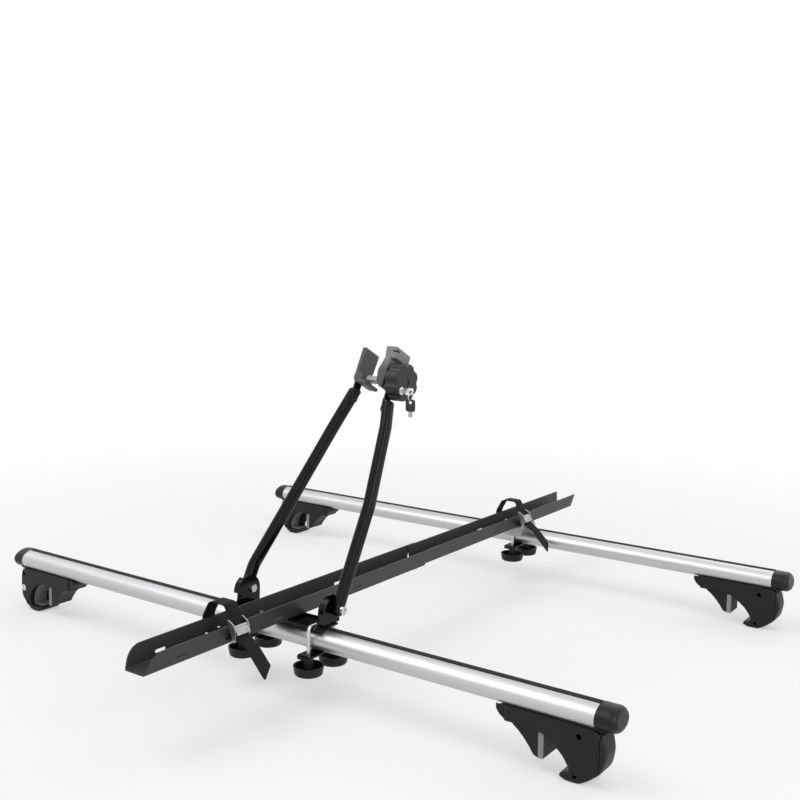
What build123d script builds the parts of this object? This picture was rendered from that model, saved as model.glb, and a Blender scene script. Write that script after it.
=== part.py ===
"""Roof mounted bike carrier: two crossbars on rail feet, a wheel tray and a two-armed frame holder.

Millimetres. X runs along the crossbars, Y along the wheel tray to the rear, Z up. The origin lies on
the ground under the middle of the part, which stands on the hooks of its four feet.
"""
from build123d import *
import math
import os

os.makedirs("parts", exist_ok=True)

# Crossbars
bar_length = 1200.0
bar_spacing = 748.0
bar_width = 50.0
bar_height = 35.0
bar_wall = 2.0
bar_axis_height = 94.0
slot_opening = 10.0
slot_room = 18.0
slot_room_height = 5.0
slot_lip = 2.5
slot_wall = 1.8
strip_gap = 0.15
strip_proud = 0.6
strip_flange = 1.8
cap_length = 34.0
cap_round = 9.0
cap_face_lean = 7.0
cap_lug_length = 12.0
cap_lug_width = 6.0
cap_lug_height = 10.0
cap_lug_offset = 16.0

# Feet
foot_length = 164.0
foot_reach = 147.0
foot_width = 44.0
foot_edge_radius = 3.0
foot_nose_radius = 13.0
foot_ridge_drop = 12.7
end_block_length = 13.0
end_block_inset = 2.0
seam_gap = 0.3
foot_wall = 2.4
jaw_room_drop = 23.0
clamp_screw_radius = 4.0
clamp_screw_drop = 30.3
clamp_screw_start = 20.0
clamp_screw_head_radius = 6.5
clamp_screw_head_length = 7.0
clamp_screw_key = 3.2
clamp_screw_key_depth = 4.0
nose_cover_depth = 9.0
bar_bolt_radius = 3.0
bar_bolt_place = 22.0
bar_bolt_nut_radius = 5.8
bar_bolt_nut_height = 5.0
bar_bolt_head_width = 15.0
bar_bolt_head_height = 3.5
pad_thickness = 2.6
pad_gap = 0.1
side_hole_radius = 4.2
side_hole_low_radius = 3.0
side_hole_depth = 3.0
lock_radius = 6.0
lock_depth = 9.0
lock_gap = 0.05
key_slot_width = 1.4
key_slot_depth = 3.0
hook_pad_thickness = 2.5
mouth_radius = 42.5
mouth_wall = 8.0
mouth_pad_inset = 10.0

# Foot jaws
jaw_side_gap = 0.3
jaw_pad_thickness = 8.0
jaw_pad_hole_radius = 1.1
jaw_pad_hole_depth = 2.0
jaw_pad_hole_columns = 4
jaw_pad_hole_rows = 3
jaw_tongue_length = 27.0
jaw_tongue_drop = 23.6

# Wheel tray
tray_length = 1271.0
tray_front_overhang = 311.0
tray_centre_x = 58.0
tray_base_width = 40.0
tray_wall_height = 30.0
tray_flare = 6.0
tray_sheet = 1.8
tray_bend_radius = 3.5
tray_nest_gap = 0.15
tray_front_slant = 13.0
tray_front_radius = 30.0
tray_rear_slant = 9.0
tray_rear_radius = 0.8
tray_join = 667.0
tray_join_radius = 28.5
tray_wall_start = 672.0
tray_tongue_start = 633.0
tray_tongue_height = 5.5
tray_slot_length = 20.0
tray_slot_height = 5.0
tray_slot_rise = 10.0
strap_slot_length = 31.0
front_slot_shares = (0.051, 0.21, 0.364)
rear_slot_shares = (0.727,)
strap_shares = (0.1314, 0.8025)

# Fasteners of the tray
screw_radius = 3.0
screw_head_radius = 5.5
screw_head_height = 2.4
screw_hole_gap = 0.3
screw_spacing = 18.0
splice_nut_height = 4.0

# Front mount on the bar
plate_centre_x = 52.0
plate_length = 180.0
plate_width = 46.0
plate_thickness = 3.0
plate_lip_height = 2.5
plate_lip_width = 3.0
u_bolt_offset = 69.0
rod_radius = 3.0
rod_bend_radius = 6.4
leg_spacing = 60.0
rod_notch_gap = 1.0
leg_bottom_drop = 46.0
clamp_plate_width = 26.0
clamp_plate_length = 84.0
clamp_plate_thickness = 3.0
clamp_plate_end = 7.0
clamp_plate_gap = 0.3

# Hand knobs on the bolt legs
knob_radius = 24.0
knob_wall = 2.6
knob_height = 15.0
knob_recess = 11.0
knob_boss_radius = 7.0
knob_drop = 50.0
knob_edge_radius = 4.0
knob_seat_gap = 0.3
running_gap = 0.05

# Rear mount
saddle_width = 36.0
saddle_length = 76.0
saddle_gap = 0.2
saddle_skirt_drop = 4.0
saddle_arch_side = 5.0
bolt_head_radius = 6.5
bolt_head_height = 2.2

# Holder arms, measured in their own plane from the pivot
pivot_centre_x = 52.0
pivot_half_span = 96.0
pivot_y = 14.0
pivot_rise = 46.0
arm_lean = 27.5
arm_length = 380.0
arm_width = 20.0
arm_depth = 17.0
arm_corner_radius = 6.0
arm_wall = 1.6
arm_foot_solid = 16.0
arm_bend_radius = 45.0
arm_eye_thickness = 6.0
arm_eye_radius = 11.0
near_knee_shift = 1.0
near_knee_share = 0.442
near_bend_shift = 13.0
near_bend_share = 0.795
near_tube_share = 0.91
far_tube_share = 0.948
far_knee_share = 0.1
far_bend_shift = 74.0
far_bend_share = 0.763
far_eye_x = 53.0
near_eye_x = 121.3
pivot_bolt_radius = 4.0
pivot_head_radius = 7.0
pivot_head_height = 4.3
pivot_play = 0.8
near_head_gap = 0.7
ear_gap = 1.2
ear_thickness = 3.0
ear_radius = 25.0
ear_centre_back = 7.0
ear_centre_drop = 2.0
ear_rim_depth = 8.0
ear_rim_wall = 3.0
ear_foot_front = 30.0
ear_foot_rear = 31.0
ear_waist_rise = 12.0
ear_waist_front = 19.0

# Frame clamp, measured from the clamp bolt
jaw_length = 40.0
near_jaw_inside = 100.0
jaw_top = 50.0
jaw_skin = 6.5
far_boss_length = 14.0
clamp_bolt_radius = 4.0
clamp_bolt_end = 150.5
clamp_head_radius = 7.5
clamp_head_height = 5.0
near_jaw_bore = 8.6
near_eye_bore = 5.6
horn_height = 20.0
horn_depth = 10.0
horn_slot = 2.6
spring_wire = 0.8
spring_radius = 6.0
spring_turns = 11
spring_end = 107.4
spring_gap = 0.4

# Clamp knob
big_knob_radius = 31.5
big_knob_back = 127.2
big_knob_face = 152.0
big_knob_lobes = 8
lobe_cut_radius = 9.0
lobe_cut_depth = 3.2
big_knob_chamfer = 2.0
nut_flange_radius = 9.0
nut_flange_thickness = 1.9
nut_radius = 7.0
nut_length = 14.0
nut_seat_gap = 0.6
face_hole_radius = 4.6

# Lock and keys in the clamp knob
knob_lock_radius = 6.5
knob_lock_side = 9.3
knob_lock_drop = 17.8
knob_lock_depth = 9.0
knob_lock_proud = 1.0
key_thickness = 1.6
key_neck_length = 6.0
key_neck_height = 7.0
key_bow_length = 16.0
key_bow_height = 12.0
key_bow_radius = 4.0
spare_bow_length = 20.0
spare_bow_height = 18.0
key_hole_radius = 3.0
key_hole_inset = 4.8
ring_radius = 6.5
ring_wire = 0.7
ring_play = 0.8
spare_blade_length = 9.0

# Wheel straps and buckles
webbing_width = 25.0
webbing_thickness = 1.6
webbing_clear = 0.5
webbing_bend = 3.0
loop_height = 58.5
loop_half = 15.0
loop_bend = 12.0
far_side_gap = 2.0
tail_first = 32.0
tail_length = 84.0
tail_slope = 37.0
tail_droop = 46.5
tail_bevel = 1.6
buckle_lean = 25.0
buckle_out = 9.5
buckle_low = 2.0
buckle_sheet = 1.5
buckle_wing = 1.8
buckle_side_gap = 0.8
buckle_top = 14.0
buckle_foot = 20.0
buckle_depth = 7.0
buckle_crown = 3.6
buckle_rod_radius = 1.7
buckle_rod_place = 16.5
buckle_rod_depth = 6.0
cam_radius = 3.0
cam_pin_radius = 1.5
cam_plate_thickness = 1.8
cam_plate_length = 12.0
cam_plate_lift = 12.0
cam_window_length = 18.0
cam_window_height = 5.0

# Shared overrun of every cut, and figures worked out from the sizes above
overrun = 5.0
bar_half = bar_length / 2
front_bar_y = tray_front_overhang - tray_length / 2
rear_bar_y = front_bar_y + bar_spacing
bar_top = bar_axis_height + bar_height / 2
plate_bottom = bar_top + strip_proud
plate_top = plate_bottom + plate_thickness
tray_bottom = plate_top + plate_lip_height
nest_step = tray_sheet + tray_nest_gap
foot_inner_x = bar_half - foot_reach
foot_outer_x = foot_inner_x + foot_length
foot_drop = bar_axis_height - foot_ridge_drop
jaw_slide_gap = 0.05
leg_offset = leg_spacing / 2
near_pivot_x = pivot_centre_x + pivot_half_span
far_pivot_x = pivot_centre_x - pivot_half_span
pivot_point = (0, front_bar_y + pivot_y, bar_axis_height + pivot_rise)


def prism_x(points, radii, x_low, x_high):
    """Extrudes a (y, z) outline along X."""
    face = make_face(FilletPolyline(*points, radius=radii, close=True))
    return extrude(Plane.YZ.offset(x_low) * face, amount=x_high - x_low)


def prism_y(points, radii, y_low, y_high):
    """Extrudes an (x, z) outline along Y."""
    face = make_face(FilletPolyline(*points, radius=radii, close=True))
    plane = Plane(origin=(0, y_high, 0), x_dir=(1, 0, 0), z_dir=(0, -1, 0))
    return extrude(plane * face, amount=y_high - y_low)


def prism_z(points, radii, z_low, z_high):
    """Extrudes an (x, y) outline along Z."""
    face = make_face(FilletPolyline(*points, radius=radii, close=True))
    return extrude(Plane.XY.offset(z_low) * face, amount=z_high - z_low)


def box_between(x_low, x_high, y_low, y_high, z_low, z_high):
    """A box from its six limits."""
    centre = Pos((x_low + x_high) / 2, (y_low + y_high) / 2, (z_low + z_high) / 2)
    return centre * Box(x_high - x_low, y_high - y_low, z_high - z_low)


def rod_x(radius, x_low, x_high, y=0, z=0):
    """A cylinder along X."""
    return Pos((x_low + x_high) / 2, y, z) * Rot(0, 90, 0) * Cylinder(radius, x_high - x_low)


def rod_y(radius, y_low, y_high, x=0, z=0):
    """A cylinder along Y."""
    return Pos(x, (y_low + y_high) / 2, z) * Rot(90, 0, 0) * Cylinder(radius, y_high - y_low)


def rod_z(radius, z_low, z_high, x=0, y=0):
    """A cylinder along Z."""
    return Pos(x, y, (z_low + z_high) / 2) * Cylinder(radius, z_high - z_low)


def nut_x(radius, x_low, x_high, y=0, z=0):
    """A hexagonal nut or head along X."""
    face = Plane.YZ.offset(x_low) * Pos(y, z) * RegularPolygon(radius, 6)
    return extrude(face, amount=x_high - x_low)


def nut_z(radius, z_low, z_high, x=0, y=0):
    """A hexagonal nut or head along Z."""
    return extrude(Plane.XY.offset(z_low) * Pos(x, y) * RegularPolygon(radius, 6), amount=z_high - z_low)


def sized(shares, width, height, x_start=0, z_start=0):
    """Turns a list of shares into points of an outline that is width wide and height tall."""
    return [(x_start + u * width, z_start + v * height) for u, v in shares]


def group(solids):
    """Several separate solids as one node."""
    return Compound(children=[solid for item in solids for solid in item.solids()])


# Crossbar extrusion: an oval tube with a slot along its top and one along its underside

def slot_outline(room_gap, lip_gap):
    """Height limits and half widths of the slot's room, seen from the bar's axis."""
    top = bar_height / 2 - slot_lip
    return top - slot_room_height, top, slot_room / 2 - room_gap, slot_opening / 2 - lip_gap


def bar_section():
    room_low, room_high, room_half, open_half = slot_outline(0, 0)
    outer = Ellipse(bar_width / 2, bar_height / 2)
    section = outer - Ellipse(bar_width / 2 - bar_wall, bar_height / 2 - bar_wall)
    for side in (1, -1):
        mid = side * (room_low + room_high) / 2
        lining = Rectangle(slot_room + 2 * slot_wall, slot_room_height + 2 * slot_wall)
        head = Rectangle(slot_room + 2 * slot_wall, bar_height / 2 - room_high)
        section += (Pos(0, mid) * lining) & outer
        section += (Pos(0, side * (room_high + bar_height / 2) / 2) * head) & outer
    for side in (1, -1):
        mid = side * (room_low + room_high) / 2
        section -= Pos(0, mid) * Rectangle(slot_room, slot_room_height)
        neck = Rectangle(slot_opening, bar_height / 2)
        section -= Pos(0, side * (room_high + bar_height / 4)) * neck
    return section


def crossbar(y):
    face = Plane.YZ.offset(-bar_half) * bar_section()
    return Pos(0, y, bar_axis_height) * extrude(face, amount=bar_length)


def top_strip(y):
    """Rubber strip: its crown fills the slot's mouth and its flange lies under the lips."""
    _, room_high, room_half, open_half = slot_outline(strip_gap, strip_gap)
    crown_top = bar_height / 2 + strip_proud
    flange_top = room_high - strip_gap
    flange_low = flange_top - strip_flange
    outline = [(-room_half, flange_low), (room_half, flange_low), (room_half, flange_top),
               (open_half, flange_top), (open_half, crown_top), (-open_half, crown_top),
               (-open_half, flange_top), (-room_half, flange_top)]
    shape = prism_x(outline, 0, -bar_half, bar_half)
    return Pos(0, y, bar_axis_height) * shape


def end_cap(y, side):
    """Domed end cap: flat where it meets the bar, with a rounded rim and an oval face that leans back."""
    half_high = bar_height / 2
    oval = extrude(Plane.YZ * Ellipse(bar_width / 2, half_high), amount=cap_length)
    lean_view = prism_y([(0, -half_high), (cap_length, -half_high), (cap_length - cap_face_lean, half_high),
                         (0, half_high)], 0, -bar_width, bar_width)
    cap = oval & lean_view
    cap = fillet(cap.faces().sort_by(Axis.X)[-1].edges(), cap_round)
    for lug_side in (1, -1):
        y_mid = lug_side * cap_lug_offset
        cap += box_between(-cap_lug_length, 0, y_mid - cap_lug_width / 2, y_mid + cap_lug_width / 2,
                           -cap_lug_height / 2, cap_lug_height / 2)
    cap = Pos(bar_half, 0, 0) * cap
    turn = Rot(0, 0, 0 if side > 0 else 180)
    return Pos(0, y, bar_axis_height) * turn * cap


# Feet: drawn for the end on the +X side, measured from the bar's axis. The same foot is turned half
# a turn for the other end, so its lock faces the front there.

foot_shares = [(0.077, 0), (0.921, 0), (0.951, -0.114), (1, -0.41), (0.957, -0.742), (0.841, -0.93),
               (0.774, -1), (0.659, -1), (0.591, -0.951), (0.606, -0.885), (0.68, -0.854),
               (0.679, -0.774), (0.616, -0.582), (0.493, -0.392), (0.396, -0.297), (0.077, -0.297)]
foot_radius_shares = [0, 0.06, 0.3, 0.25, 0.3, 0.25, 0.1, 0.05, 0.02, 0.03, 0.03, 0.06, 0.5, 0.6, 0.1, 0]
end_block_shares = [(0.077, -0.02), (0.077, -0.26), (0.037, -0.204), (0.003, -0.114), (0, -0.02)]
jaw_shares = [(0.155, -0.302), (0.211, -0.385), (0.266, -0.487), (0.321, -0.622), (0.358, -0.733),
              (0.402, -0.766), (0.402, -0.302)]
jaw_face_share = 0.402
jaw_room_shares = (0.189, 0.567)
mouth_centre_shares = (0.537, 0.828)
mouth_low_share = 0.885
pad_top_share = 0.325
pad_low_share = 0.766
hook_pad_shares = (0.57, 0.64)
side_hole_shares = [(0.765, 0.197), (0.737, 0.893)]
lock_side_hole_shares = [(0.896, 0.165), (0.841, 0.83)]
nose_cover_share = 0.72
nut_pocket_share = 0.22
lock_drop_share = 0.5


def foot_points(shares):
    return sized(shares, foot_length, foot_drop, foot_inner_x, -foot_ridge_drop)


def saddle_cut(growth):
    """The bar's oval, grown on all sides, through the foot."""
    oval = Ellipse(bar_width / 2 + growth, bar_height / 2 + growth)
    start = foot_inner_x - overrun
    return extrude(Plane.YZ.offset(start) * oval, amount=foot_length + 2 * overrun)


def foot_block():
    """The foot's outer form, before anything is cut from it."""
    half = foot_width / 2
    radii = [share * foot_drop for share in foot_radius_shares]
    side_view = prism_y(foot_points(foot_shares), radii, -half, half)
    flat_edges = side_view.edges().filter_by(Plane.XZ)
    rounded = fillet(flat_edges, foot_edge_radius)
    plan = prism_z([(foot_inner_x, -half), (foot_outer_x, -half), (foot_outer_x, half),
                    (foot_inner_x, half)], [0, foot_nose_radius, foot_nose_radius, 0],
                   -bar_axis_height - overrun, 0)
    return rounded & plan


def nose_room(gap):
    """The space of the nose cover."""
    x_low = foot_outer_x - nose_cover_depth + gap
    low = -foot_ridge_drop - foot_drop * nose_cover_share + gap
    return box_between(x_low, foot_outer_x + overrun, -foot_width, foot_width, low, 0)


def side_holes():
    """Shallow screw recesses in both sides of the foot."""
    half = foot_width / 2
    cuts = []
    for side, shares in ((1, lock_side_hole_shares), (-1, side_hole_shares)):
        low, high = sorted((side * (half - side_hole_depth), side * (half + overrun)))
        for radius, (across, down) in zip((side_hole_radius, side_hole_low_radius), shares):
            x = foot_inner_x + across * foot_length
            z = -foot_ridge_drop - down * foot_drop
            cuts.append(rod_y(radius, low, high, x, z))
    return cuts


def mouth_round(radius, y_low, y_high, rise=0):
    """Round of the hook's mouth on the lock's side, down to the level of its floor."""
    across, down = mouth_centre_shares
    x = foot_inner_x + across * foot_length
    z = -foot_ridge_drop - down * foot_drop
    low = -foot_ridge_drop - mouth_low_share * foot_drop + rise
    room = box_between(x - 2 * radius, x + 2 * radius, y_low, y_high, low, 0)
    return rod_y(radius, y_low, y_high, x, z) & room


def jaw_room_limits():
    """Ends along the bar of the room in which the jaw slides."""
    return [foot_inner_x + share * foot_length for share in jaw_room_shares]


def foot_housing():
    body = foot_block() - nose_room(0)
    body -= saddle_cut(pad_thickness + 2 * pad_gap)
    body -= mouth_round(mouth_radius, mouth_wall - foot_width / 2, foot_width / 2 + overrun)
    inner = foot_width / 2 - foot_wall
    room_start, room_end = jaw_room_limits()
    body -= box_between(room_start, room_end, -inner, inner, -bar_axis_height - overrun, -jaw_room_drop)
    body -= rod_x(clamp_screw_radius + screw_hole_gap, room_end - overrun, foot_outer_x, 0,
                  -clamp_screw_drop)
    head_start = foot_outer_x - nose_cover_depth - clamp_screw_head_length - seam_gap
    body -= rod_x(clamp_screw_head_radius + 2 * screw_hole_gap, head_start, foot_outer_x + overrun, 0,
                  -clamp_screw_drop)
    bolt_x = foot_inner_x + bar_bolt_place
    body -= rod_z(bar_bolt_radius + screw_hole_gap, -bar_axis_height, 0, bolt_x)
    body -= rod_z(bar_bolt_nut_radius + screw_hole_gap, -bar_axis_height,
                  -foot_ridge_drop - foot_drop * nut_pocket_share, bolt_x)
    body -= lock_barrel(lock_gap)
    for hole in side_holes():
        body -= hole
    return body


def lock_barrel(growth):
    """Lock barrel in the side of the foot, with its key slot where it isn't a cut."""
    half = foot_width / 2
    x = foot_outer_x - nose_cover_depth - lock_radius - 2 * seam_gap - 2 * lock_gap
    z = -foot_ridge_drop - foot_drop * lock_drop_share
    barrel = rod_y(lock_radius + growth, half - lock_depth - growth, half + (overrun if growth else 0), x, z)
    if not growth:
        barrel -= box_between(x - key_slot_width / 2, x + key_slot_width / 2, half - key_slot_depth,
                              half + overrun, z - lock_radius * 0.6, z + lock_radius * 0.6)
    return barrel


def end_block():
    half = foot_width / 2 - end_block_inset
    points = foot_points(end_block_shares)
    radius = end_block_length * 0.3
    block = prism_y(points, [0, 0, radius, radius, 0], -half, half)
    return block - saddle_cut(pad_thickness + 2 * pad_gap)


def nose_cover():
    return foot_block() & nose_room(seam_gap)


def saddle_pad():
    """Rubber between the foot and the bar, with a hole for the bolt into the bar's slot."""
    room = foot_width / 2 - end_block_inset
    sector = box_between(foot_inner_x + end_block_length, foot_outer_x - nose_cover_depth, -room, room,
                         -bar_height, -foot_ridge_drop * 0.62)
    pad = (sector & saddle_cut(pad_thickness + pad_gap)) - saddle_cut(pad_gap)
    return pad - rod_z(bar_bolt_radius + screw_hole_gap, -bar_height, 0, foot_inner_x + bar_bolt_place)


def hook_pad():
    """Rubber liner that follows the round of the hook's mouth from above down to its floor."""
    low, high = mouth_wall - foot_width / 2, foot_width / 2 - mouth_pad_inset
    outer = mouth_radius - running_gap
    start, toe = [foot_inner_x + share * foot_length for share in hook_pad_shares]
    middle = -foot_ridge_drop - mouth_centre_shares[1] * foot_drop
    side = box_between(start, foot_outer_x, low, high, middle, 0)
    side += box_between(toe, foot_outer_x, low, high, -bar_axis_height, middle)
    inner = mouth_round(outer - hook_pad_thickness, low - overrun, high + overrun, hook_pad_thickness)
    return (mouth_round(outer, low, high) - inner) & side


def clamp_screw():
    """Screw that draws the jaw towards the hook, with a six-sided key hole in its head."""
    head_end = foot_outer_x - nose_cover_depth
    head_start = head_end - clamp_screw_head_length
    screw = rod_x(clamp_screw_radius, foot_inner_x + clamp_screw_start + clamp_screw_head_length * 2, head_start, 0,
                  -clamp_screw_drop)
    screw += rod_x(clamp_screw_head_radius, head_start, head_end, 0, -clamp_screw_drop)
    return screw - nut_x(clamp_screw_key, head_end - clamp_screw_key_depth, head_end + overrun, 0,
                         -clamp_screw_drop)


def bar_bolt():
    """Bolt with a square head in the bar's lower slot and a nut under the foot."""
    x = foot_inner_x + bar_bolt_place
    head_low = -(bar_height / 2 - slot_lip - strip_gap)
    head_top = head_low + bar_bolt_head_height
    nut_top = -foot_ridge_drop - foot_drop * nut_pocket_share
    nut_low = nut_top - bar_bolt_nut_height
    half = bar_bolt_head_width / 2
    bolt = box_between(x - half, x + half, -half, half, head_low, head_top)
    bolt += rod_z(bar_bolt_radius, nut_low, head_low, x)
    return bolt + nut_z(bar_bolt_nut_radius, nut_low, nut_top, x)


def jaw_limits():
    """Half width of the jaw and the plane where its pad starts."""
    half = foot_width / 2 - foot_wall - jaw_side_gap
    return half, foot_inner_x + foot_length * jaw_face_share


def foot_jaw():
    half, face = jaw_limits()
    radius = foot_drop / 8
    jaw = prism_y(foot_points(jaw_shares), [0, radius, radius, radius, radius / 2, 0, 0], -half, half)
    jaw_top = max(v for _, v in jaw_shares) * foot_drop - foot_ridge_drop
    jaw += box_between(face - jaw_tongue_length, face, -half, half, jaw_top - foot_edge_radius,
                       -jaw_tongue_drop)
    return jaw - rod_x(clamp_screw_radius + jaw_slide_gap, foot_inner_x, face + overrun, 0,
                       -clamp_screw_drop)


def foot_jaw_pad():
    """Rubber pad on the jaw with rows of small blind holes in its face."""
    half, face = jaw_limits()
    top = -foot_ridge_drop - foot_drop * pad_top_share
    low = -foot_ridge_drop - foot_drop * pad_low_share
    radius = jaw_pad_hole_radius
    end = face + jaw_pad_thickness
    pad = prism_y([(face, low), (end, low), (end, top), (face, top)], [0, radius, radius, 0], -half, half)
    for column in range(jaw_pad_hole_columns):
        for row in range(jaw_pad_hole_rows):
            y = -half + (column + 1) * 2 * half / (jaw_pad_hole_columns + 1)
            z = low + (row + 1) * (top - low) / (jaw_pad_hole_rows + 1)
            pad -= rod_x(radius, end - jaw_pad_hole_depth, end + overrun, y, z)
    return pad


def place_foot(shape, bar_y, side):
    turn = Rot(0, 0, 0 if side > 0 else 180)
    return Pos(0, bar_y, bar_axis_height) * turn * shape


# Wheel tray: a folded sheet channel in two halves, the rear one nested in the front one

def tray_channel(y_low, y_high, inset):
    """Channel between two places along the tray, drawn inwards by the inset."""
    half = tray_base_width / 2 - inset
    slope = tray_flare / tray_wall_height
    z_low = tray_bottom + inset
    top = tray_bottom + tray_wall_height
    rise = top - z_low
    reach = half + rise * slope
    sheet = tray_sheet
    outer = [(-reach, top), (-half, z_low), (half, z_low), (reach, top)]
    inner = [(reach - sheet, top), (half - sheet, z_low + sheet), (-half + sheet, z_low + sheet),
             (-reach + sheet, top)]
    points = [(tray_centre_x + x, z) for x, z in outer + inner]
    bend = tray_bend_radius
    radii = [0, bend, bend, 0, 0, bend - sheet, bend - sheet, 0]
    return prism_y(points, radii, y_low, y_high)


def tray_side_view(points, radii):
    """What the channel keeps, seen from the side."""
    side = tray_base_width
    return prism_x(points, radii, tray_centre_x - side, tray_centre_x + side)


def tray_place(share):
    """Place along the tray, given as a share of its length from the front."""
    return (share - 1 / 2) * tray_length


def wall_slots(shares, length):
    """Long holes through both walls at the same height."""
    low = tray_bottom + tray_slot_rise - tray_slot_height / 2
    high = low + tray_slot_height
    cuts = []
    for share in shares:
        y = tray_place(share)
        points = [(y - length / 2, low), (y + length / 2, low), (y + length / 2, high), (y - length / 2, high)]
        cuts.append(prism_x(points, tray_slot_height * 0.45, tray_centre_x - tray_base_width,
                            tray_centre_x + tray_base_width))
    return cuts


def tray_front():
    """Front half: its rear edge is cut back in an arc, over the rear half's walls."""
    start = -tray_length / 2
    join = start + tray_join
    end = join + tray_join_radius + tray_sheet
    low, high = tray_bottom - overrun, tray_bottom + tray_wall_height
    slope = tray_front_slant / tray_wall_height
    shape = tray_channel(start, end, 0)
    shape &= tray_side_view([(start - overrun * slope, low), (end, low), (end, high), (start + tray_front_slant, high)],
                            [0, 0, 0, tray_front_radius])
    shape -= rod_x(tray_join_radius, tray_centre_x - tray_base_width, tray_centre_x + tray_base_width,
                   join + tray_join_radius, tray_bottom)
    shape -= box_between(tray_centre_x - tray_base_width, tray_centre_x + tray_base_width, join, end + overrun,
                         low, tray_bottom)
    for cut in wall_slots(front_slot_shares, tray_slot_length) + wall_slots(strap_shares[:1],
                                                                             strap_slot_length):
        shape -= cut
    for hole in screw_holes(base_screw_places() + splice_screw_places()):
        shape -= hole
    return shape


def tray_rear():
    """Rear half, nested in the front one, with a low tongue forward of its walls."""
    start = -tray_length / 2 + tray_tongue_start
    walls = -tray_length / 2 + tray_wall_start
    end = tray_length / 2
    low, high = tray_bottom - overrun, tray_bottom + tray_wall_height
    slope = tray_rear_slant / tray_wall_height
    shape = tray_channel(start, end, nest_step)
    shape &= tray_side_view([(start, low), (end - tray_rear_slant - overrun * slope, low), (end, high), (walls, high),
                             (walls, tray_bottom + tray_tongue_height),
                             (start, tray_bottom + tray_tongue_height)],
                            [0, 0, tray_rear_radius, 0, 0, 0])
    for cut in wall_slots(rear_slot_shares, tray_slot_length) + wall_slots(strap_shares[1:],
                                                                            strap_slot_length):
        shape -= cut
    for hole in screw_holes(rear_bolt_places() + splice_screw_places()):
        shape -= hole
    return shape


def base_screw_places():
    return [(tray_centre_x, front_bar_y + side * screw_spacing / 2) for side in (1, -1)]


def splice_screw_places():
    y = -tray_length / 2 + (tray_tongue_start + tray_join) / 2
    return [(tray_centre_x + side * screw_spacing / 2, y) for side in (1, -1)]


def rear_bolt_places():
    return [(tray_centre_x, rear_bar_y + side * leg_offset) for side in (1, -1)]


def screw_holes(places):
    return [rod_z(screw_radius + screw_hole_gap, bar_axis_height, tray_bottom + tray_wall_height, x, y)
            for x, y in places]


def domed_head(x, y, z):
    """Low round screw head standing on z."""
    disc = rod_z(screw_head_radius, z, z + screw_head_height, x, y)
    return fillet(disc.edges().group_by(Axis.Z)[-1], screw_head_height * 0.6)


def tray_screws():
    """Screws that hold the tray to the base plate, and the two halves to each other."""
    screws = []
    seat = tray_bottom + tray_sheet
    for x, y in base_screw_places():
        shank = rod_z(screw_radius, plate_bottom + strip_gap, seat, x, y)
        screws.append(shank + domed_head(x, y, seat))
    seat = tray_bottom + nest_step + tray_sheet
    for x, y in splice_screw_places():
        low = tray_bottom - splice_nut_height
        shank = rod_z(screw_radius, low, seat, x, y)
        nut = nut_z(screw_head_radius, low, tray_bottom, x, y)
        screws.append(shank + domed_head(x, y, seat) + nut)
    return screws


# Front mount: base plate with lips, U-bolts over it, clamp plates and knobs under the bar

def u_bolt_places():
    return [tray_centre_x - u_bolt_offset, tray_centre_x + u_bolt_offset]


def base_plate():
    x_low = plate_centre_x - plate_length / 2
    x_high = plate_centre_x + plate_length / 2
    half = plate_width / 2
    lip = half - plate_lip_width
    lip_top = plate_top + plate_lip_height
    outline = [(-half, plate_bottom), (half, plate_bottom), (half, lip_top), (lip, lip_top),
               (lip, plate_top), (-lip, plate_top), (-lip, lip_top), (-half, lip_top)]
    plate = Pos(0, front_bar_y, 0) * prism_x(outline, 0, x_low, x_high)
    for x in u_bolt_places():
        notch = rod_radius + rod_notch_gap
        plate -= box_between(x - notch, x + notch, front_bar_y - plate_width, front_bar_y + plate_width,
                             plate_top, lip_top + overrun)
    for near in (1, -1):
        ear_low, ear_high = sorted((ear_limits(near)[0], pivot_x_of(near)))
        plate -= box_between(ear_low - seam_gap, ear_high, front_bar_y - plate_width,
                             front_bar_y + plate_width, plate_top, lip_top + overrun)
    for x, y in base_screw_places():
        plate -= rod_z(screw_radius + running_gap, plate_bottom - overrun, plate_top + overrun, x, y)
    return plate


def u_bolt(x):
    """Round rod over the base plate with two threaded legs."""
    top = plate_top + rod_radius
    low = bar_axis_height - leg_bottom_drop
    points = [(x, front_bar_y - leg_offset, low), (x, front_bar_y - leg_offset, top),
              (x, front_bar_y + leg_offset, top), (x, front_bar_y + leg_offset, low)]
    path = FilletPolyline(*points, radius=rod_bend_radius)
    section = Plane(origin=points[0], x_dir=(1, 0, 0), z_dir=(0, 0, 1)) * Circle(rod_radius)
    return sweep(section, path=path)


def clamp_plate(x, bar_y):
    """Plate under the bar with both ends turned down."""
    top = bar_axis_height - bar_height / 2 - clamp_plate_gap
    half = clamp_plate_length / 2
    thick = clamp_plate_thickness
    outline = [(-half, top - clamp_plate_end), (-half + thick, top - clamp_plate_end),
               (-half + thick, top - thick), (half - thick, top - thick),
               (half - thick, top - clamp_plate_end), (half, top - clamp_plate_end), (half, top),
               (-half, top)]
    radii = [0, 0, 0, 0, 0, 0, thick, thick]
    half_width = clamp_plate_width / 2
    plate = Pos(0, bar_y, 0) * prism_x(outline, radii, x - half_width, x + half_width)
    for side in (1, -1):
        plate -= rod_z(rod_radius + screw_hole_gap, 0, bar_axis_height, x, bar_y + side * leg_offset)
    return plate


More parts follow.
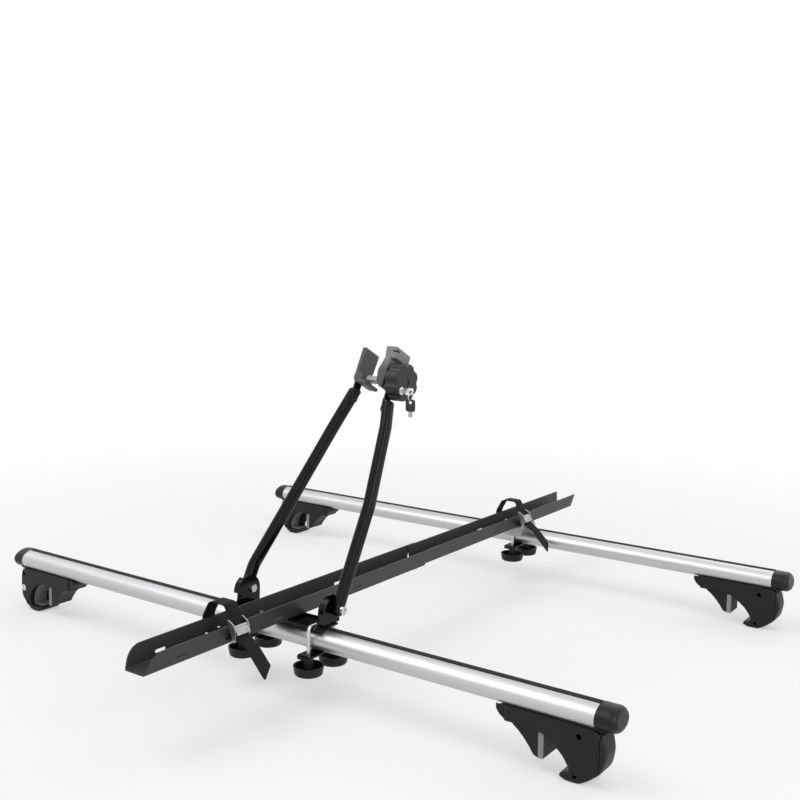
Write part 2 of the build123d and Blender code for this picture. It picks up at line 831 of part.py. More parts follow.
def hand_knob(x, y):
    """Round cup-shaped knob: an outer wall, a central boss up to the plate and a blind threaded hole."""
    low = bar_axis_height - knob_drop
    rim = low + knob_height
    floor = rim - knob_recess
    seat = (bar_axis_height - bar_height / 2 - clamp_plate_gap - clamp_plate_thickness - knob_seat_gap)
    inner = knob_radius - knob_wall
    boss_low = knob_boss_radius + knob_wall / 2
    points = [(0, low), (knob_radius * 0.9, low), (knob_radius, rim), (inner, rim),
              (inner * 0.94, floor), (boss_low, floor), (knob_boss_radius, seat), (0, seat)]
    radii = [0, knob_edge_radius, 0, 0, knob_wall / 2, knob_wall / 2, 0, 0]
    face = make_face(FilletPolyline(*points, radius=radii, close=True))
    knob = revolve(Plane.XZ * face, axis=Axis.Z)
    hole_low = bar_axis_height - leg_bottom_drop - knob_seat_gap
    knob -= rod_z(rod_radius + running_gap, hole_low, seat + overrun)
    return Pos(x, y, 0) * knob


# Rear mount: saddle on the bar, two bolts through the tray, clamp plate and knobs

def rear_saddle():
    """Block between the bar and the tray, hollowed to the bar's oval."""
    half = saddle_length / 2
    top = tray_bottom + nest_step
    low = bar_axis_height + saddle_skirt_drop
    block = prism_x([(-half, low), (half, low), (half * 0.9, top), (-half * 0.9, top)],
                    [0, 0, saddle_arch_side, saddle_arch_side], tray_centre_x - saddle_width / 2,
                    tray_centre_x + saddle_width / 2)
    oval = Ellipse(bar_width / 2 + saddle_gap, bar_height / 2 + strip_proud + 2 * saddle_gap)
    start = tray_centre_x - saddle_width
    hollow = Pos(0, 0, bar_axis_height) * extrude(Plane.YZ.offset(start) * oval, amount=2 * saddle_width)
    saddle = Pos(0, rear_bar_y, 0) * (block - hollow)
    for x, y in rear_bolt_places():
        saddle -= rod_z(screw_radius + screw_hole_gap, 0, top + overrun, x, y)
    return saddle


def rear_bolt(x, y):
    """Bolt with a low round head inside the tray."""
    seat = tray_bottom + nest_step + tray_sheet
    head = rod_z(bolt_head_radius, seat, seat + bolt_head_height, x, y)
    head = fillet(head.edges().group_by(Axis.Z)[-1], bolt_head_height * 0.6)
    return rod_z(rod_radius, bar_axis_height - leg_bottom_drop, seat, x, y) + head


# Holder arms, drawn upright over the pivot and then leant back

def lean(shape):
    """From the arms' own frame (x along the bar, y across, z along the arm) to the part's frame."""
    return Pos(*pivot_point) * Rot(-arm_lean, 0, 0) * shape


def arm_section(origin, direction, inset):
    plane = Plane(origin=origin, x_dir=(0, 1, 0), z_dir=direction)
    return plane * RectangleRounded(arm_width - 2 * inset, arm_depth - 2 * inset, arm_corner_radius - inset)


def arm_tube(points, inset):
    path = FilletPolyline(*points, radius=arm_bend_radius)
    direction = Vector(points[1]) - Vector(points[0])
    return sweep(arm_section(points[0], direction, inset), path=path)


def arm(points, tube_share, eye_x, eye_bore, foot_bore):
    """Bent tube with a solid rounded foot and a flattened eye at the top."""
    foot_x = points[0][0]
    foot = (foot_x, 0, -arm_width)
    tube = arm_tube([foot] + points[1:], 0)
    inner = arm_tube([(foot_x, 0, arm_foot_solid)] + points[1:], arm_wall)
    half = arm_width / 2
    tube_end = arm_length * tube_share
    keep = rod_x(half, foot_x - arm_width, foot_x + arm_width)
    keep += box_between(foot_x - arm_length, foot_x + arm_length, -half, half, 0, tube_end)
    shape = (tube - inner) & keep
    eye_half = arm_eye_thickness / 2
    low = tube_end - arm_width
    eye = box_between(eye_x - eye_half, eye_x + eye_half, -half + arm_wall, half - arm_wall, low, arm_length)
    eye += rod_x(arm_eye_radius, eye_x - eye_half, eye_x + eye_half, 0, arm_length)
    shape += eye
    shape -= rod_x(eye_bore, eye_x - arm_width, eye_x + arm_width, 0, arm_length)
    shape -= rod_x(foot_bore, foot_x - arm_width, foot_x + arm_width)
    return shape


def near_arm():
    points = [(near_pivot_x, 0, 0), (near_pivot_x + near_knee_shift, 0, near_knee_share * arm_length),
              (near_pivot_x - near_bend_shift, 0, near_bend_share * arm_length),
              (near_eye_x, 0, arm_length - arm_depth)]
    return lean(arm(points, near_tube_share, near_eye_x, near_eye_bore, pivot_bolt_radius + pivot_play))


def far_arm():
    points = [(far_pivot_x, 0, 0), (far_pivot_x, 0, far_knee_share * arm_length),
              (far_pivot_x + far_bend_shift, 0, far_bend_share * arm_length),
              (far_eye_x, 0, arm_length - arm_depth)]
    return lean(arm(points, far_tube_share, far_eye_x, clamp_bolt_radius + screw_hole_gap,
                    pivot_bolt_radius + running_gap))


# Pivot brackets and bolts on the base plate. near is 1 at the +X end and -1 at the other.

def pivot_x_of(near):
    return pivot_centre_x + near * pivot_half_span


def ear_limits(near):
    """Inner and outer face of the upright ear."""
    outer = pivot_x_of(near) - near * (arm_depth / 2 + ear_gap)
    return outer - near * ear_thickness, outer


def pivot_bracket(near):
    """Pressed steel ear standing on the end of the base plate, with a raised rim round its front."""
    ear_low, ear_high = sorted(ear_limits(near))
    y_mid = front_bar_y + pivot_y - ear_centre_back
    z_mid = bar_axis_height + pivot_rise - ear_centre_drop
    ear = rod_x(ear_radius, ear_low, ear_high, y_mid, z_mid)
    waist_y, waist_z = front_bar_y - ear_waist_front, plate_top + ear_waist_rise
    web = [(front_bar_y - ear_foot_front, plate_top), (front_bar_y + ear_foot_rear, plate_top),
           (y_mid + ear_radius, z_mid), (y_mid - ear_radius, z_mid), (waist_y, waist_z)]
    ear += prism_x(web, [0, 0, 0, 0, ear_waist_rise], ear_low, ear_high)
    rim_low, rim_high = sorted((ear_limits(near)[1], ear_limits(near)[1] + near * ear_rim_depth))
    rim = rod_x(ear_radius, rim_low, rim_high, y_mid, z_mid)
    rim -= rod_x(ear_radius - ear_rim_wall, rim_low - overrun, rim_high + overrun, y_mid, z_mid)
    rim &= box_between(rim_low, rim_high, y_mid - 2 * ear_radius, y_mid - ear_radius * 0.45, z_mid,
                       z_mid + 2 * ear_radius)
    ear &= box_between(ear_low, ear_high, y_mid - 2 * ear_radius, y_mid + 2 * ear_radius, plate_top,
                       z_mid + 2 * ear_radius)
    bracket = ear + rim
    return bracket - rod_x(pivot_bolt_radius + running_gap, ear_low - overrun, ear_high + overrun,
                           pivot_point[1], pivot_point[2])


def pivot_bolt(near):
    """Bolt through arm and ear, with a socket head outside and a nut inside."""
    centre = pivot_x_of(near)
    gap = near_head_gap
    head_in = centre + near * (arm_depth / 2 + gap)
    head_out = head_in + near * pivot_head_height
    nut_out = ear_limits(near)[0]
    nut_in = nut_out - near * pivot_head_height
    y, z = pivot_point[1], pivot_point[2]
    low, high = sorted((nut_in - near * screw_hole_gap, head_in))
    bolt = rod_x(pivot_bolt_radius, low, high, y, z)
    low, high = sorted((head_in, head_out))
    bolt += rod_x(pivot_head_radius, low, high, y, z)
    socket_low, socket_high = sorted((head_out - near * pivot_head_height / 2, head_out + near * overrun))
    bolt -= nut_x(pivot_bolt_radius * 0.75, socket_low, socket_high, y, z)
    low, high = sorted((nut_in, nut_out))
    return bolt + nut_x(pivot_head_radius, low, high, y, z)


# Frame clamp: two jaws on a threaded bolt between the tops of the arms

def far_jaw():
    """Hollow-faced jaw on the far arm's eye, with a lower lip that reaches under the frame tube."""
    x, skin = far_eye_x + arm_eye_thickness / 2, jaw_skin
    outline = [(x, jaw_top), (x, -skin), (x + skin, -skin * 2), (x + skin * 4, -skin * 2.2),
               (x + skin * 4, -skin * 1.3), (x + skin * 2, -skin), (x + skin, skin),
               (x + skin * 1.3, jaw_top)]
    radii = [skin * 0.3, skin * 0.8, skin * 1.2, skin * 0.3, skin * 0.3, skin * 0.8, skin * 2, skin * 0.3]
    jaw = prism_y(outline, radii, -jaw_length / 2, jaw_length / 2)
    jaw += rod_x(clamp_head_radius, x, x + far_boss_length)
    jaw -= rod_x(clamp_bolt_radius + screw_hole_gap, x - overrun, x + 5 * skin)
    return lean(Pos(0, 0, arm_length) * jaw)


def near_jaw():
    """Hollow-faced jaw with a horn that reaches over the clamp knob."""
    x, skin = near_jaw_inside, jaw_skin
    back = near_eye_x - arm_eye_thickness / 2
    horn_low = jaw_top + overrun - horn_height
    horn_back = back + horn_depth
    top = jaw_top + overrun
    outline = [(x + skin * 0.5, top), (x + skin * 1.1, horn_low), (x, skin * 2), (x + skin * 0.5, -skin),
               (x + skin * 1.8, -skin * 2.6), (back, -skin * 2.6), (back, horn_low),
               (horn_back, horn_low), (horn_back, top)]
    radii = [skin * 0.4, skin, skin * 2, skin * 2, skin * 0.5, skin * 0.2, skin * 0.1, skin * 0.2,
             skin * 0.6]
    jaw = prism_y(outline, radii, -jaw_length / 2, jaw_length / 2)
    slot_z = horn_low + horn_height * 0.6
    slot = prism_y([(x + skin * 2, slot_z), (horn_back + overrun, slot_z - horn_slot),
                    (horn_back + overrun, slot_z + horn_slot)], 0, -jaw_length,
                   -jaw_length * 0.3)
    jaw -= slot
    jaw -= rod_x(near_jaw_bore, x - overrun, back + overrun)
    return lean(Pos(0, 0, arm_length) * jaw)


def clamp_bolt():
    head_out = far_eye_x - arm_eye_thickness / 2 - clamp_head_height
    bolt = rod_x(clamp_bolt_radius, head_out, clamp_bolt_end)
    bolt += nut_x(clamp_head_radius, head_out, head_out + clamp_head_height)
    return lean(Pos(0, 0, arm_length) * bolt)


def helix_point(start, pitch, turn):
    """Place and direction on a coil round the X axis after so many turns."""
    angle = 2 * math.pi * turn
    place = Vector(start + pitch * turn, spring_radius * math.cos(angle), spring_radius * math.sin(angle))
    along = Vector(pitch / (2 * math.pi), -spring_radius * math.sin(angle),
                   spring_radius * math.cos(angle)).normalized()
    return place, along


def biarc(place_a, along_a, place_b, along_b):
    """Two arcs that leave one place and reach the other in the given directions."""
    chord = place_b - place_a
    both = along_a + along_b
    spread = 2 * (1 - along_a.dot(along_b))
    lead = (math.sqrt(chord.dot(both) ** 2 + spread * chord.dot(chord)) - chord.dot(both)) / spread
    corner_a = place_a + along_a * lead
    corner_b = place_b - along_b * lead
    middle = (corner_a + corner_b) * 0.5
    along_middle = (corner_b - corner_a).normalized()
    return [TangentArc(place_a, middle, tangent=along_a), TangentArc(middle, place_b, tangent=along_middle)]


def helix_path(start, pitch, steps):
    """A coil made of two arcs for each half turn."""
    arcs = []
    for step in range(steps):
        place_a, along_a = helix_point(start, pitch, step / 2)
        place_b, along_b = helix_point(start, pitch, (step + 1) / 2)
        arcs += biarc(place_a, along_a, place_b, along_b)
    return Wire(arcs)


def helix_gap(path, steps):
    """Least gap between the wire and itself one turn on, measured on points of its centre line."""
    count = steps * 8
    places = [path @ (index / count) for index in range(count + 1)]
    least = min((places[i] - places[j]).length for i in range(count + 1) for j in range(i + 8, count + 1))
    return least - 2 * spring_wire


def clamp_spring():
    """Coil round the clamp bolt from the far jaw into the near jaw's bore."""
    start = far_eye_x + arm_eye_thickness / 2 + far_boss_length + spring_wire + spring_gap
    pitch = (spring_end - spring_wire - start) / spring_turns
    steps = 2 * spring_turns
    path = helix_path(start, pitch, steps)
    section = Plane(origin=path @ 0, z_dir=path % 0) * Circle(spring_wire)
    print("spring: least gap between turns", round(helix_gap(path, steps), 3), "mm")
    return lean(Pos(0, 0, arm_length) * sweep(section, path=path))


def clamp_nut():
    """Threaded sleeve with a flange that bears on the near arm's eye."""
    seat = near_eye_x + arm_eye_thickness / 2 + nut_seat_gap
    nut = rod_x(nut_flange_radius, seat, seat + nut_flange_thickness)
    nut += rod_x(nut_radius, seat, seat + nut_flange_thickness + nut_length)
    nut -= rod_x(clamp_bolt_radius + running_gap, seat - overrun, seat + nut_length * 2)
    return lean(Pos(0, 0, arm_length) * nut)


def clamp_knob():
    """Lobed knob over the sleeve, with a hole for the bolt's end and a lock in its face."""
    disc = Circle(big_knob_radius)
    for index in range(big_knob_lobes):
        angle = 360 * (index + 0.5) / big_knob_lobes
        reach = big_knob_radius + lobe_cut_radius - lobe_cut_depth
        disc -= Rot(0, 0, angle) * Pos(reach, 0) * Circle(lobe_cut_radius)
    knob = extrude(Plane.YZ.offset(big_knob_back) * disc, amount=big_knob_face - big_knob_back)
    knob = chamfer(knob.edges().group_by(Axis.X)[-1], big_knob_chamfer)
    nut_end = near_eye_x + arm_eye_thickness / 2 + nut_seat_gap + nut_flange_thickness + nut_length
    knob -= rod_x(nut_radius + running_gap, big_knob_back - overrun, nut_end + seam_gap)
    knob -= rod_x(face_hole_radius, big_knob_back, big_knob_face + overrun)
    knob -= rod_x(knob_lock_radius + lock_gap, big_knob_face - knob_lock_depth - seam_gap,
                  big_knob_face + overrun, -knob_lock_side, -knob_lock_drop)
    return lean(Pos(0, 0, arm_length) * knob)


def knob_lock():
    face = big_knob_face + knob_lock_proud
    lock = rod_x(knob_lock_radius, big_knob_face - knob_lock_depth, face, -knob_lock_side, -knob_lock_drop)
    lock = chamfer(lock.edges().group_by(Axis.X)[-1], knob_lock_proud / 2)
    return lean(Pos(0, 0, arm_length) * lock)


def lock_key():
    """Flat key lying in the arms' plane, its neck on the lock's face."""
    face = big_knob_face + knob_lock_proud
    half = key_thickness / 2
    neck = box_between(face, face + key_neck_length + key_bow_radius, -half, half, -key_neck_height / 2,
                       key_neck_height / 2)
    start = face + key_neck_length
    bow_half = key_bow_height / 2
    bow = prism_y([(start, -bow_half), (start + key_bow_length, -bow_half),
                   (start + key_bow_length, bow_half), (start, bow_half)], key_bow_radius, -half, half)
    hole = rod_y(key_hole_radius, -key_thickness, key_thickness, start + key_bow_length - key_hole_inset,
                 -bow_half + key_hole_inset)
    return lean(Pos(0, -knob_lock_side, arm_length - knob_lock_drop) * (neck + bow - hole))


def key_hole_point():
    """Centre of the key's hole in the part's frame."""
    x = big_knob_face + knob_lock_proud + key_neck_length + key_bow_length - key_hole_inset
    along = arm_length - knob_lock_drop - key_bow_height / 2 + key_hole_inset
    turn = math.radians(arm_lean)
    y = pivot_point[1] + along * math.sin(turn) - knob_lock_side * math.cos(turn)
    z = pivot_point[2] + along * math.cos(turn) + knob_lock_side * math.sin(turn)
    return x, y, z


def key_ring():
    """Ring through the key's hole, hanging across the key."""
    x, y, z = key_hole_point()
    return Pos(x, y, z - ring_play - ring_radius) * Rot(0, 90, 0) * Torus(ring_radius, ring_wire)


def spare_key():
    """Second key hanging from the ring."""
    x, y, z = key_hole_point()
    hole_z = z - ring_play - 2 * ring_radius - key_hole_radius + ring_wire + running_gap
    top = hole_z + key_hole_inset
    half = key_thickness / 2
    bow_half = spare_bow_height / 2
    neck_half = key_neck_height / 2
    bow_low = top - spare_bow_length
    bow = prism_y([(x - bow_half, bow_low), (x + bow_half, bow_low), (x + bow_half, top),
                   (x - bow_half, top)], key_bow_radius, y - half, y + half)
    blade = box_between(x - neck_half, x + neck_half, y - half, y + half, bow_low - spare_blade_length,
                        bow_low + key_bow_radius)
    hole = rod_y(key_hole_radius, y - key_thickness, y + key_thickness, x, hole_z)
    return bow + blade - hole


# Wheel straps: webbing in a plane across the tray, through a slot in each wall. The buckle's own frame
# has its origin on the cam's pin, u down along the webbing and n outward from the tray.

def buckle_point(u, n):
    """From the buckle's frame to x from the tray's middle and z from its bottom."""
    turn = math.radians(buckle_lean)
    x = tray_base_width / 2 + tray_flare + buckle_out + u * math.sin(turn) + n * math.cos(turn)
    z = tray_wall_height - buckle_low - u * math.cos(turn) + n * math.sin(turn)
    return x, z


def buckle_outline(points):
    """Points of the buckle's frame as (x, z) of the part."""
    return [(tray_centre_x + x, tray_bottom + z) for x, z in (buckle_point(u, n) for u, n in points)]


def webbing_depth():
    """Depth of the webbing's middle behind the cam's pin."""
    return buckle_depth - buckle_sheet - webbing_clear - webbing_thickness / 2


def strap_route(bottom_inset):
    """Middle line of the webbing from its sewn end at the rod round to its free end."""
    wrap = buckle_rod_radius + webbing_clear / 2 + webbing_thickness / 2
    rod_u, rod_n = buckle_rod_place, -buckle_rod_depth
    floor = bottom_inset + tray_sheet + webbing_clear + webbing_thickness / 2
    slot = tray_slot_rise
    inner = tray_base_width / 2 - tray_sheet - webbing_bend
    outer = tray_base_width / 2 + tray_flare + far_side_gap + webbing_thickness / 2
    shoulder_x, shoulder_z = buckle_point(-buckle_top - 2 * loop_bend, -webbing_depth())
    lower_x, lower_z = buckle_point(buckle_top / 2, -webbing_depth())
    middle_x = lower_x + tail_first * math.cos(math.radians(tail_slope))
    middle_z = lower_z - tail_first * math.sin(math.radians(tail_slope))
    rest = tail_length - tail_first
    end_x = middle_x + rest * math.cos(math.radians(tail_droop))
    end_z = middle_z - rest * math.sin(math.radians(tail_droop))
    route = [buckle_point(rod_u - wrap, rod_n + wrap), buckle_point(rod_u + wrap, rod_n + wrap),
             buckle_point(rod_u + wrap, rod_n - wrap * 0.7), (outer, slot), (inner, slot),
             (inner - webbing_bend, floor), (-inner + webbing_bend, floor), (-inner, slot),
             (-outer, slot), (-outer, tray_wall_height + webbing_bend), (-loop_half, loop_height),
             (shoulder_x, loop_height), (lower_x, lower_z), (middle_x, middle_z), (end_x, end_z)]
    bends = [wrap * 0.95, wrap * 0.8, webbing_bend, webbing_bend, webbing_bend, webbing_bend, webbing_bend,
             webbing_bend, loop_bend, loop_bend, loop_bend * 0.6, webbing_bend, loop_bend * 2]
    return route, bends


def strap(share, bottom_inset):
    route, bends = strap_route(bottom_inset)
    y = tray_place(share)
    points = [(tray_centre_x + x, y, tray_bottom + z) for x, z in route]
    path = FilletPolyline(*points, radius=bends)
    along = Vector(points[1]) - Vector(points[0])
    section = Plane(origin=points[0], x_dir=(0, 1, 0), z_dir=along) * Rectangle(webbing_width,
                                                                               webbing_thickness)
    band = sweep(section, path=path)
    tail = (Vector(points[-1]) - Vector(points[-2])).normalized()
    half = webbing_width / 2
    plane = Plane(origin=points[-1], x_dir=(0, 1, 0), z_dir=Vector(0, 1, 0).cross(tail))
    corner = Polyline((-half - overrun, overrun), (-half, 0), (half + overrun, -tail_bevel),
                      (half + overrun, overrun), close=True)
    wedge = extrude(plane * make_face(corner), amount=webbing_thickness, both=True)
    return band - wedge


def buckle_frame(share):
    """Folded buckle frame: a back sheet, two wings and a rod at its lower end."""
    y = tray_place(share)
    inner = webbing_width / 2 + buckle_side_gap
    outer = inner + buckle_wing
    back = -buckle_depth
    rod_end = buckle_rod_place - buckle_rod_radius
    sheet = prism_y(buckle_outline([(-buckle_top, back), (rod_end * 0.8, back),
                                    (rod_end * 0.8, back + buckle_sheet),
                                    (-buckle_top, back + buckle_sheet)]), 0, y - inner, y + inner)
    wing = [(-buckle_top, back), (buckle_foot, back - buckle_rod_radius), (buckle_foot, -buckle_crown),
            (buckle_crown, buckle_crown), (-buckle_crown, buckle_crown), (-buckle_top, back / 2)]
    radii = [buckle_sheet / 2, buckle_crown * 0.7, buckle_crown * 0.6, buckle_crown * 0.8,
             buckle_crown * 0.6, buckle_sheet / 2]
    frame = sheet
    for side in (1, -1):
        low, high = sorted((y + side * inner, y + side * outer))
        frame += prism_y(buckle_outline(wing), radii, low, high)
    rod_x_place, rod_z_place = buckle_outline([(buckle_rod_place, -buckle_rod_depth)])[0]
    frame += rod_y(buckle_rod_radius, y - outer, y + outer, rod_x_place, rod_z_place)
    pin_x, pin_z = buckle_outline([(0, 0)])[0]
    return frame - rod_y(cam_pin_radius + running_gap, y - outer - overrun, y + outer + overrun, pin_x, pin_z)


def buckle_cam(share):
    """Cam roller on its pins with a thumb plate over the webbing, recessed in its middle."""
    y = tray_place(share)
    inner = webbing_width / 2 + buckle_side_gap
    pin_x, pin_z = buckle_outline([(0, 0)])[0]
    side = inner - seam_gap
    cam = rod_y(cam_radius, y - side, y + side, pin_x, pin_z)
    cam += rod_y(cam_pin_radius, y - inner - buckle_wing, y + inner + buckle_wing, pin_x, pin_z)
    lift = math.tan(math.radians(cam_plate_lift))
    low, high = 0, cam_plate_thickness
    end = cam_plate_length
    plate = prism_y(buckle_outline([(0, low), (end, low + end * lift), (end, high + end * lift), (0, high)]),
                    0, y - side, y + side)
    mid = (cam_radius + end) / 2
    half = cam_window_height / 2
    floor = cam_plate_thickness * 0.6 + mid * lift
    window = prism_y(buckle_outline([(mid - half, floor), (mid + half, floor),
                                     (mid + half, 2 * cam_radius + cam_plate_thickness),
                                     (mid - half, 2 * cam_radius + cam_plate_thickness)]),
                     0, y - cam_window_length / 2, y + cam_window_length / 2)
    return cam + plate - window


# The parts: feet first, then bars, tray, mounts, holder and straps

foot_names = {(1, 1): "rear_right", (-1, 1): "front_right", (1, -1): "rear_left", (-1, -1): "front_left"}
foot_places = [(rear_bar_y if row > 0 else front_bar_y, side, name)
               for (row, side), name in foot_names.items()]


def write(shape, name):
    export_step(shape, os.path.join("parts", name + ".step"))


housing, jaw, jaw_pad, foot_lock = foot_housing(), foot_jaw(), foot_jaw_pad(), lock_barrel(0)
for bar_y, side, name in foot_places:
    write(place_foot(housing, bar_y, side), "foot_" + name)
    write(place_foot(jaw, bar_y, side), "foot_jaw_" + name)
    write(place_foot(jaw_pad, bar_y, side), "foot_jaw_pad_" + name)
    write(place_foot(foot_lock, bar_y, side), "foot_lock_" + name)

for make, name in ((nose_cover, "foot_nose_covers"), (saddle_pad, "foot_saddle_pads"),
                   (hook_pad, "foot_hook_pads"), (end_block, "foot_end_blocks"),
                   (clamp_screw, "foot_clamp_screws"), (bar_bolt, "foot_bar_bolts")):
    shape = make()
    write(group([place_foot(shape, bar_y, side) for bar_y, side, _ in foot_places]), name)

write(crossbar(front_bar_y), "front_bar")
write(crossbar(rear_bar_y), "rear_bar")
write(group([top_strip(front_bar_y), top_strip(rear_bar_y)]), "bar_top_strips")
write(group([end_cap(y, side) for y in (front_bar_y, rear_bar_y) for side in (1, -1)]), "bar_end_caps")

write(tray_front(), "tray_front")
write(tray_rear(), "tray_rear")
write(group(tray_screws()), "tray_screws")

write(base_plate(), "base_plate")
write(group([pivot_bracket(1), pivot_bracket(-1)]), "pivot_brackets")
write(group([u_bolt(x) for x in u_bolt_places()]), "front_u_bolts")
write(group([clamp_plate(x, front_bar_y) for x in u_bolt_places()]), "front_clamp_plates")
for x, column in zip(u_bolt_places(), ("left", "right")):
    for side, row in ((-1, "front"), (1, "rear")):
        write(hand_knob(x, front_bar_y + side * leg_offset), "front_knob_" + column + "_" + row)

write(rear_saddle(), "rear_saddle")
write(group([rear_bolt(x, y) for x, y in rear_bolt_places()]), "rear_bolts")
write(clamp_plate(tray_centre_x, rear_bar_y), "rear_clamp_plate")
for (x, y), row in zip(rear_bolt_places(), ("rear", "front")):
    write(hand_knob(x, y), "rear_knob_" + row)

write(near_arm(), "near_arm")
write(far_arm(), "far_arm")
write(group([pivot_bolt(1), pivot_bolt(-1)]), "pivot_bolts")
write(far_jaw(), "far_jaw")
write(near_jaw(), "near_jaw")
write(clamp_bolt(), "clamp_bolt")
write(clamp_spring(), "clamp_spring")
write(clamp_nut(), "clamp_nut")
write(clamp_knob(), "clamp_knob")
write(knob_lock(), "knob_lock")
write(lock_key(), "lock_key")
write(key_ring(), "key_ring")
write(spare_key(), "spare_key")

for share, inset, row in zip(strap_shares, (0, nest_step + bolt_head_height), ("front", "rear")):
    write(strap(share, inset), row + "_strap")
    write(buckle_cam(share), row + "_buckle_cam")
write(group([buckle_frame(share) for share in strap_shares]), "strap_buckle_frames")
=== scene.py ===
import math
import bpy
from mathutils import Matrix, Vector


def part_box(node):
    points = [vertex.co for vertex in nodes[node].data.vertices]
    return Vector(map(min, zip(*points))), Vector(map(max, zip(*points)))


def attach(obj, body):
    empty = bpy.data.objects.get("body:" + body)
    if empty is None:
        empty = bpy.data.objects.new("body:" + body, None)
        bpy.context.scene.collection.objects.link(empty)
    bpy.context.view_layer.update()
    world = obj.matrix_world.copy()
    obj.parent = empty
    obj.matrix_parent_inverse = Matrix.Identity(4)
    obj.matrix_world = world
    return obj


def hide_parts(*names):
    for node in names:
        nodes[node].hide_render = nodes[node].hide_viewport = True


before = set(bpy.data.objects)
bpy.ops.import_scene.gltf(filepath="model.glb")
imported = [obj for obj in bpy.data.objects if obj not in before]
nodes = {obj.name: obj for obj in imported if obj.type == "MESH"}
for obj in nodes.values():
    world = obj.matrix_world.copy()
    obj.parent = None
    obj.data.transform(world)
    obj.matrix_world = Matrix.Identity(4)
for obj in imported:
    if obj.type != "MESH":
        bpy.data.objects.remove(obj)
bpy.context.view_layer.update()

scene = bpy.context.scene

# Camera: stands low beyond the front right foot and looks along the tray, as the photograph does. Its
# place, angles and lens were found from the bars, the tray's edges and the feet.
eye = Vector((1.1551, -1.5590, 0.6781))
yaw, pitch, roll = math.radians(35.558), math.radians(7.4935), math.radians(0.6097)
film_width = 36
focal_share = 1071.83 / 800
back = Vector((math.sin(yaw) * math.cos(pitch), -math.cos(yaw) * math.cos(pitch), math.sin(pitch)))
level = Vector((0, 0, 1)).cross(back).normalized()
up = back.cross(level)
right = level * math.cos(roll) + up * math.sin(roll)
above = up * math.cos(roll) - level * math.sin(roll)
lens = bpy.data.cameras.new("photo_camera")
lens.sensor_width = film_width
lens.lens = focal_share * film_width
lens.clip_start = 0.02
camera = bpy.data.objects.new("photo_camera", lens)
camera.matrix_world = Matrix((
    (right.x, above.x, back.x, eye.x), (right.y, above.y, back.y, eye.y),
    (right.z, above.z, back.z, eye.z), (0, 0, 0, 1)))
scene.collection.objects.link(camera)
scene.camera = camera

# Studio: a white background that lights the part only softly, one large key lamp from above, a weaker
# fill from the right, one behind for the bars, and two upright strips low down at the sides.
background_strength = 0.5
scene.view_settings.view_transform = "Standard"
world = bpy.data.worlds.new("studio")
scene.world = world
world.use_nodes = True
tree = world.node_tree
tree.nodes.clear()
surface = tree.nodes.new("ShaderNodeOutputWorld")
seen = tree.nodes.new("ShaderNodeBackground")
seen.inputs["Color"].default_value = (1, 1, 1, 1)
lit = tree.nodes.new("ShaderNodeBackground")
lit.inputs["Color"].default_value = (0.98, 0.99, 1, 1)
lit.inputs["Strength"].default_value = background_strength
path = tree.nodes.new("ShaderNodeLightPath")
choose = tree.nodes.new("ShaderNodeMixShader")
ray = path.outputs["Is Camera Ray"]
for kind in ("Is Glossy Ray", "Is Transmission Ray"):
    either = tree.nodes.new("ShaderNodeMath")
    either.operation = "MAXIMUM"
    tree.links.new(ray, either.inputs[0])
    tree.links.new(path.outputs[kind], either.inputs[1])
    ray = either.outputs[0]
tree.links.new(ray, choose.inputs[0])
tree.links.new(lit.outputs[0], choose.inputs[1])
tree.links.new(seen.outputs[0], choose.inputs[2])
tree.links.new(choose.outputs[0], surface.inputs["Surface"])


def area_lamp(name, place, aim, power, width, height=None):
    """A soft lamp at its place, turned to its aim: square, or oblong if it has a height."""
    lamp = bpy.data.lights.new(name, "AREA")
    lamp.energy, lamp.size = power, width
    if height:
        lamp.shape, lamp.size_y = "RECTANGLE", height
    stand = bpy.data.objects.new(name, lamp)
    stand.location = place
    stand.rotation_euler = (Vector(aim) - Vector(place)).to_track_quat("-Z", "Y").to_euler()
    scene.collection.objects.link(stand)


area_lamp("key", (-1.3, -1.3, 3.0), (0, -0.1, 0.1), power=33, width=2.2)
area_lamp("fill", (2.6, -0.6, 1.7), (0.1, 0, 0.1), power=22, width=1.6)
area_lamp("back", (0.4, 2.4, 2.2), (0, 0, 0.15), power=15, width=2.2)
area_lamp("left_strip", (-3.3, 0, 0.8), (0.1, -0.2, 0.3), power=9, width=0.6, height=1.2)
area_lamp("right_strip", (1.9, -2.6, 1.3), (0.1, -0.2, 0.25), power=8, width=0.14, height=1.8)

# Floor: matt white paint that keeps a soft shadow near the part and runs out to plain white, so that no
# edge of it shows.
floor_size = 40
near_white = 0.45
fade_start, fade_end = 0.8, 2.2
bpy.ops.object.select_all(action="DESELECT")
bpy.ops.mesh.primitive_plane_add(size=floor_size, location=(0, 0, 0))
floor = bpy.context.object
floor.name = "floor"
paint = bpy.data.materials.new("pale_floor")
paint.use_nodes = True
tree = paint.node_tree
near = tree.nodes["Principled BSDF"]
near.inputs["Base Color"].default_value = (0.93, 0.93, 0.93, 1)
near.inputs["Roughness"].default_value = 0.9
near.inputs["Specular IOR Level"].default_value = 0.1
far = tree.nodes.new("ShaderNodeEmission")
spot = tree.nodes.new("ShaderNodeTexCoord")
reach = tree.nodes.new("ShaderNodeVectorMath")
reach.operation = "LENGTH"
fade = tree.nodes.new("ShaderNodeMapRange")
fade.interpolation_type = "SMOOTHSTEP"
fade.inputs["From Min"].default_value = fade_start
fade.inputs["From Max"].default_value = fade_end
fade.inputs["To Min"].default_value = near_white
path = tree.nodes.new("ShaderNodeLightPath")
sight = tree.nodes.new("ShaderNodeMath")
sight.operation = "MAXIMUM"
share = tree.nodes.new("ShaderNodeMath")
share.operation = "MULTIPLY"
blend = tree.nodes.new("ShaderNodeMixShader")
tree.links.new(spot.outputs["Object"], reach.inputs[0])
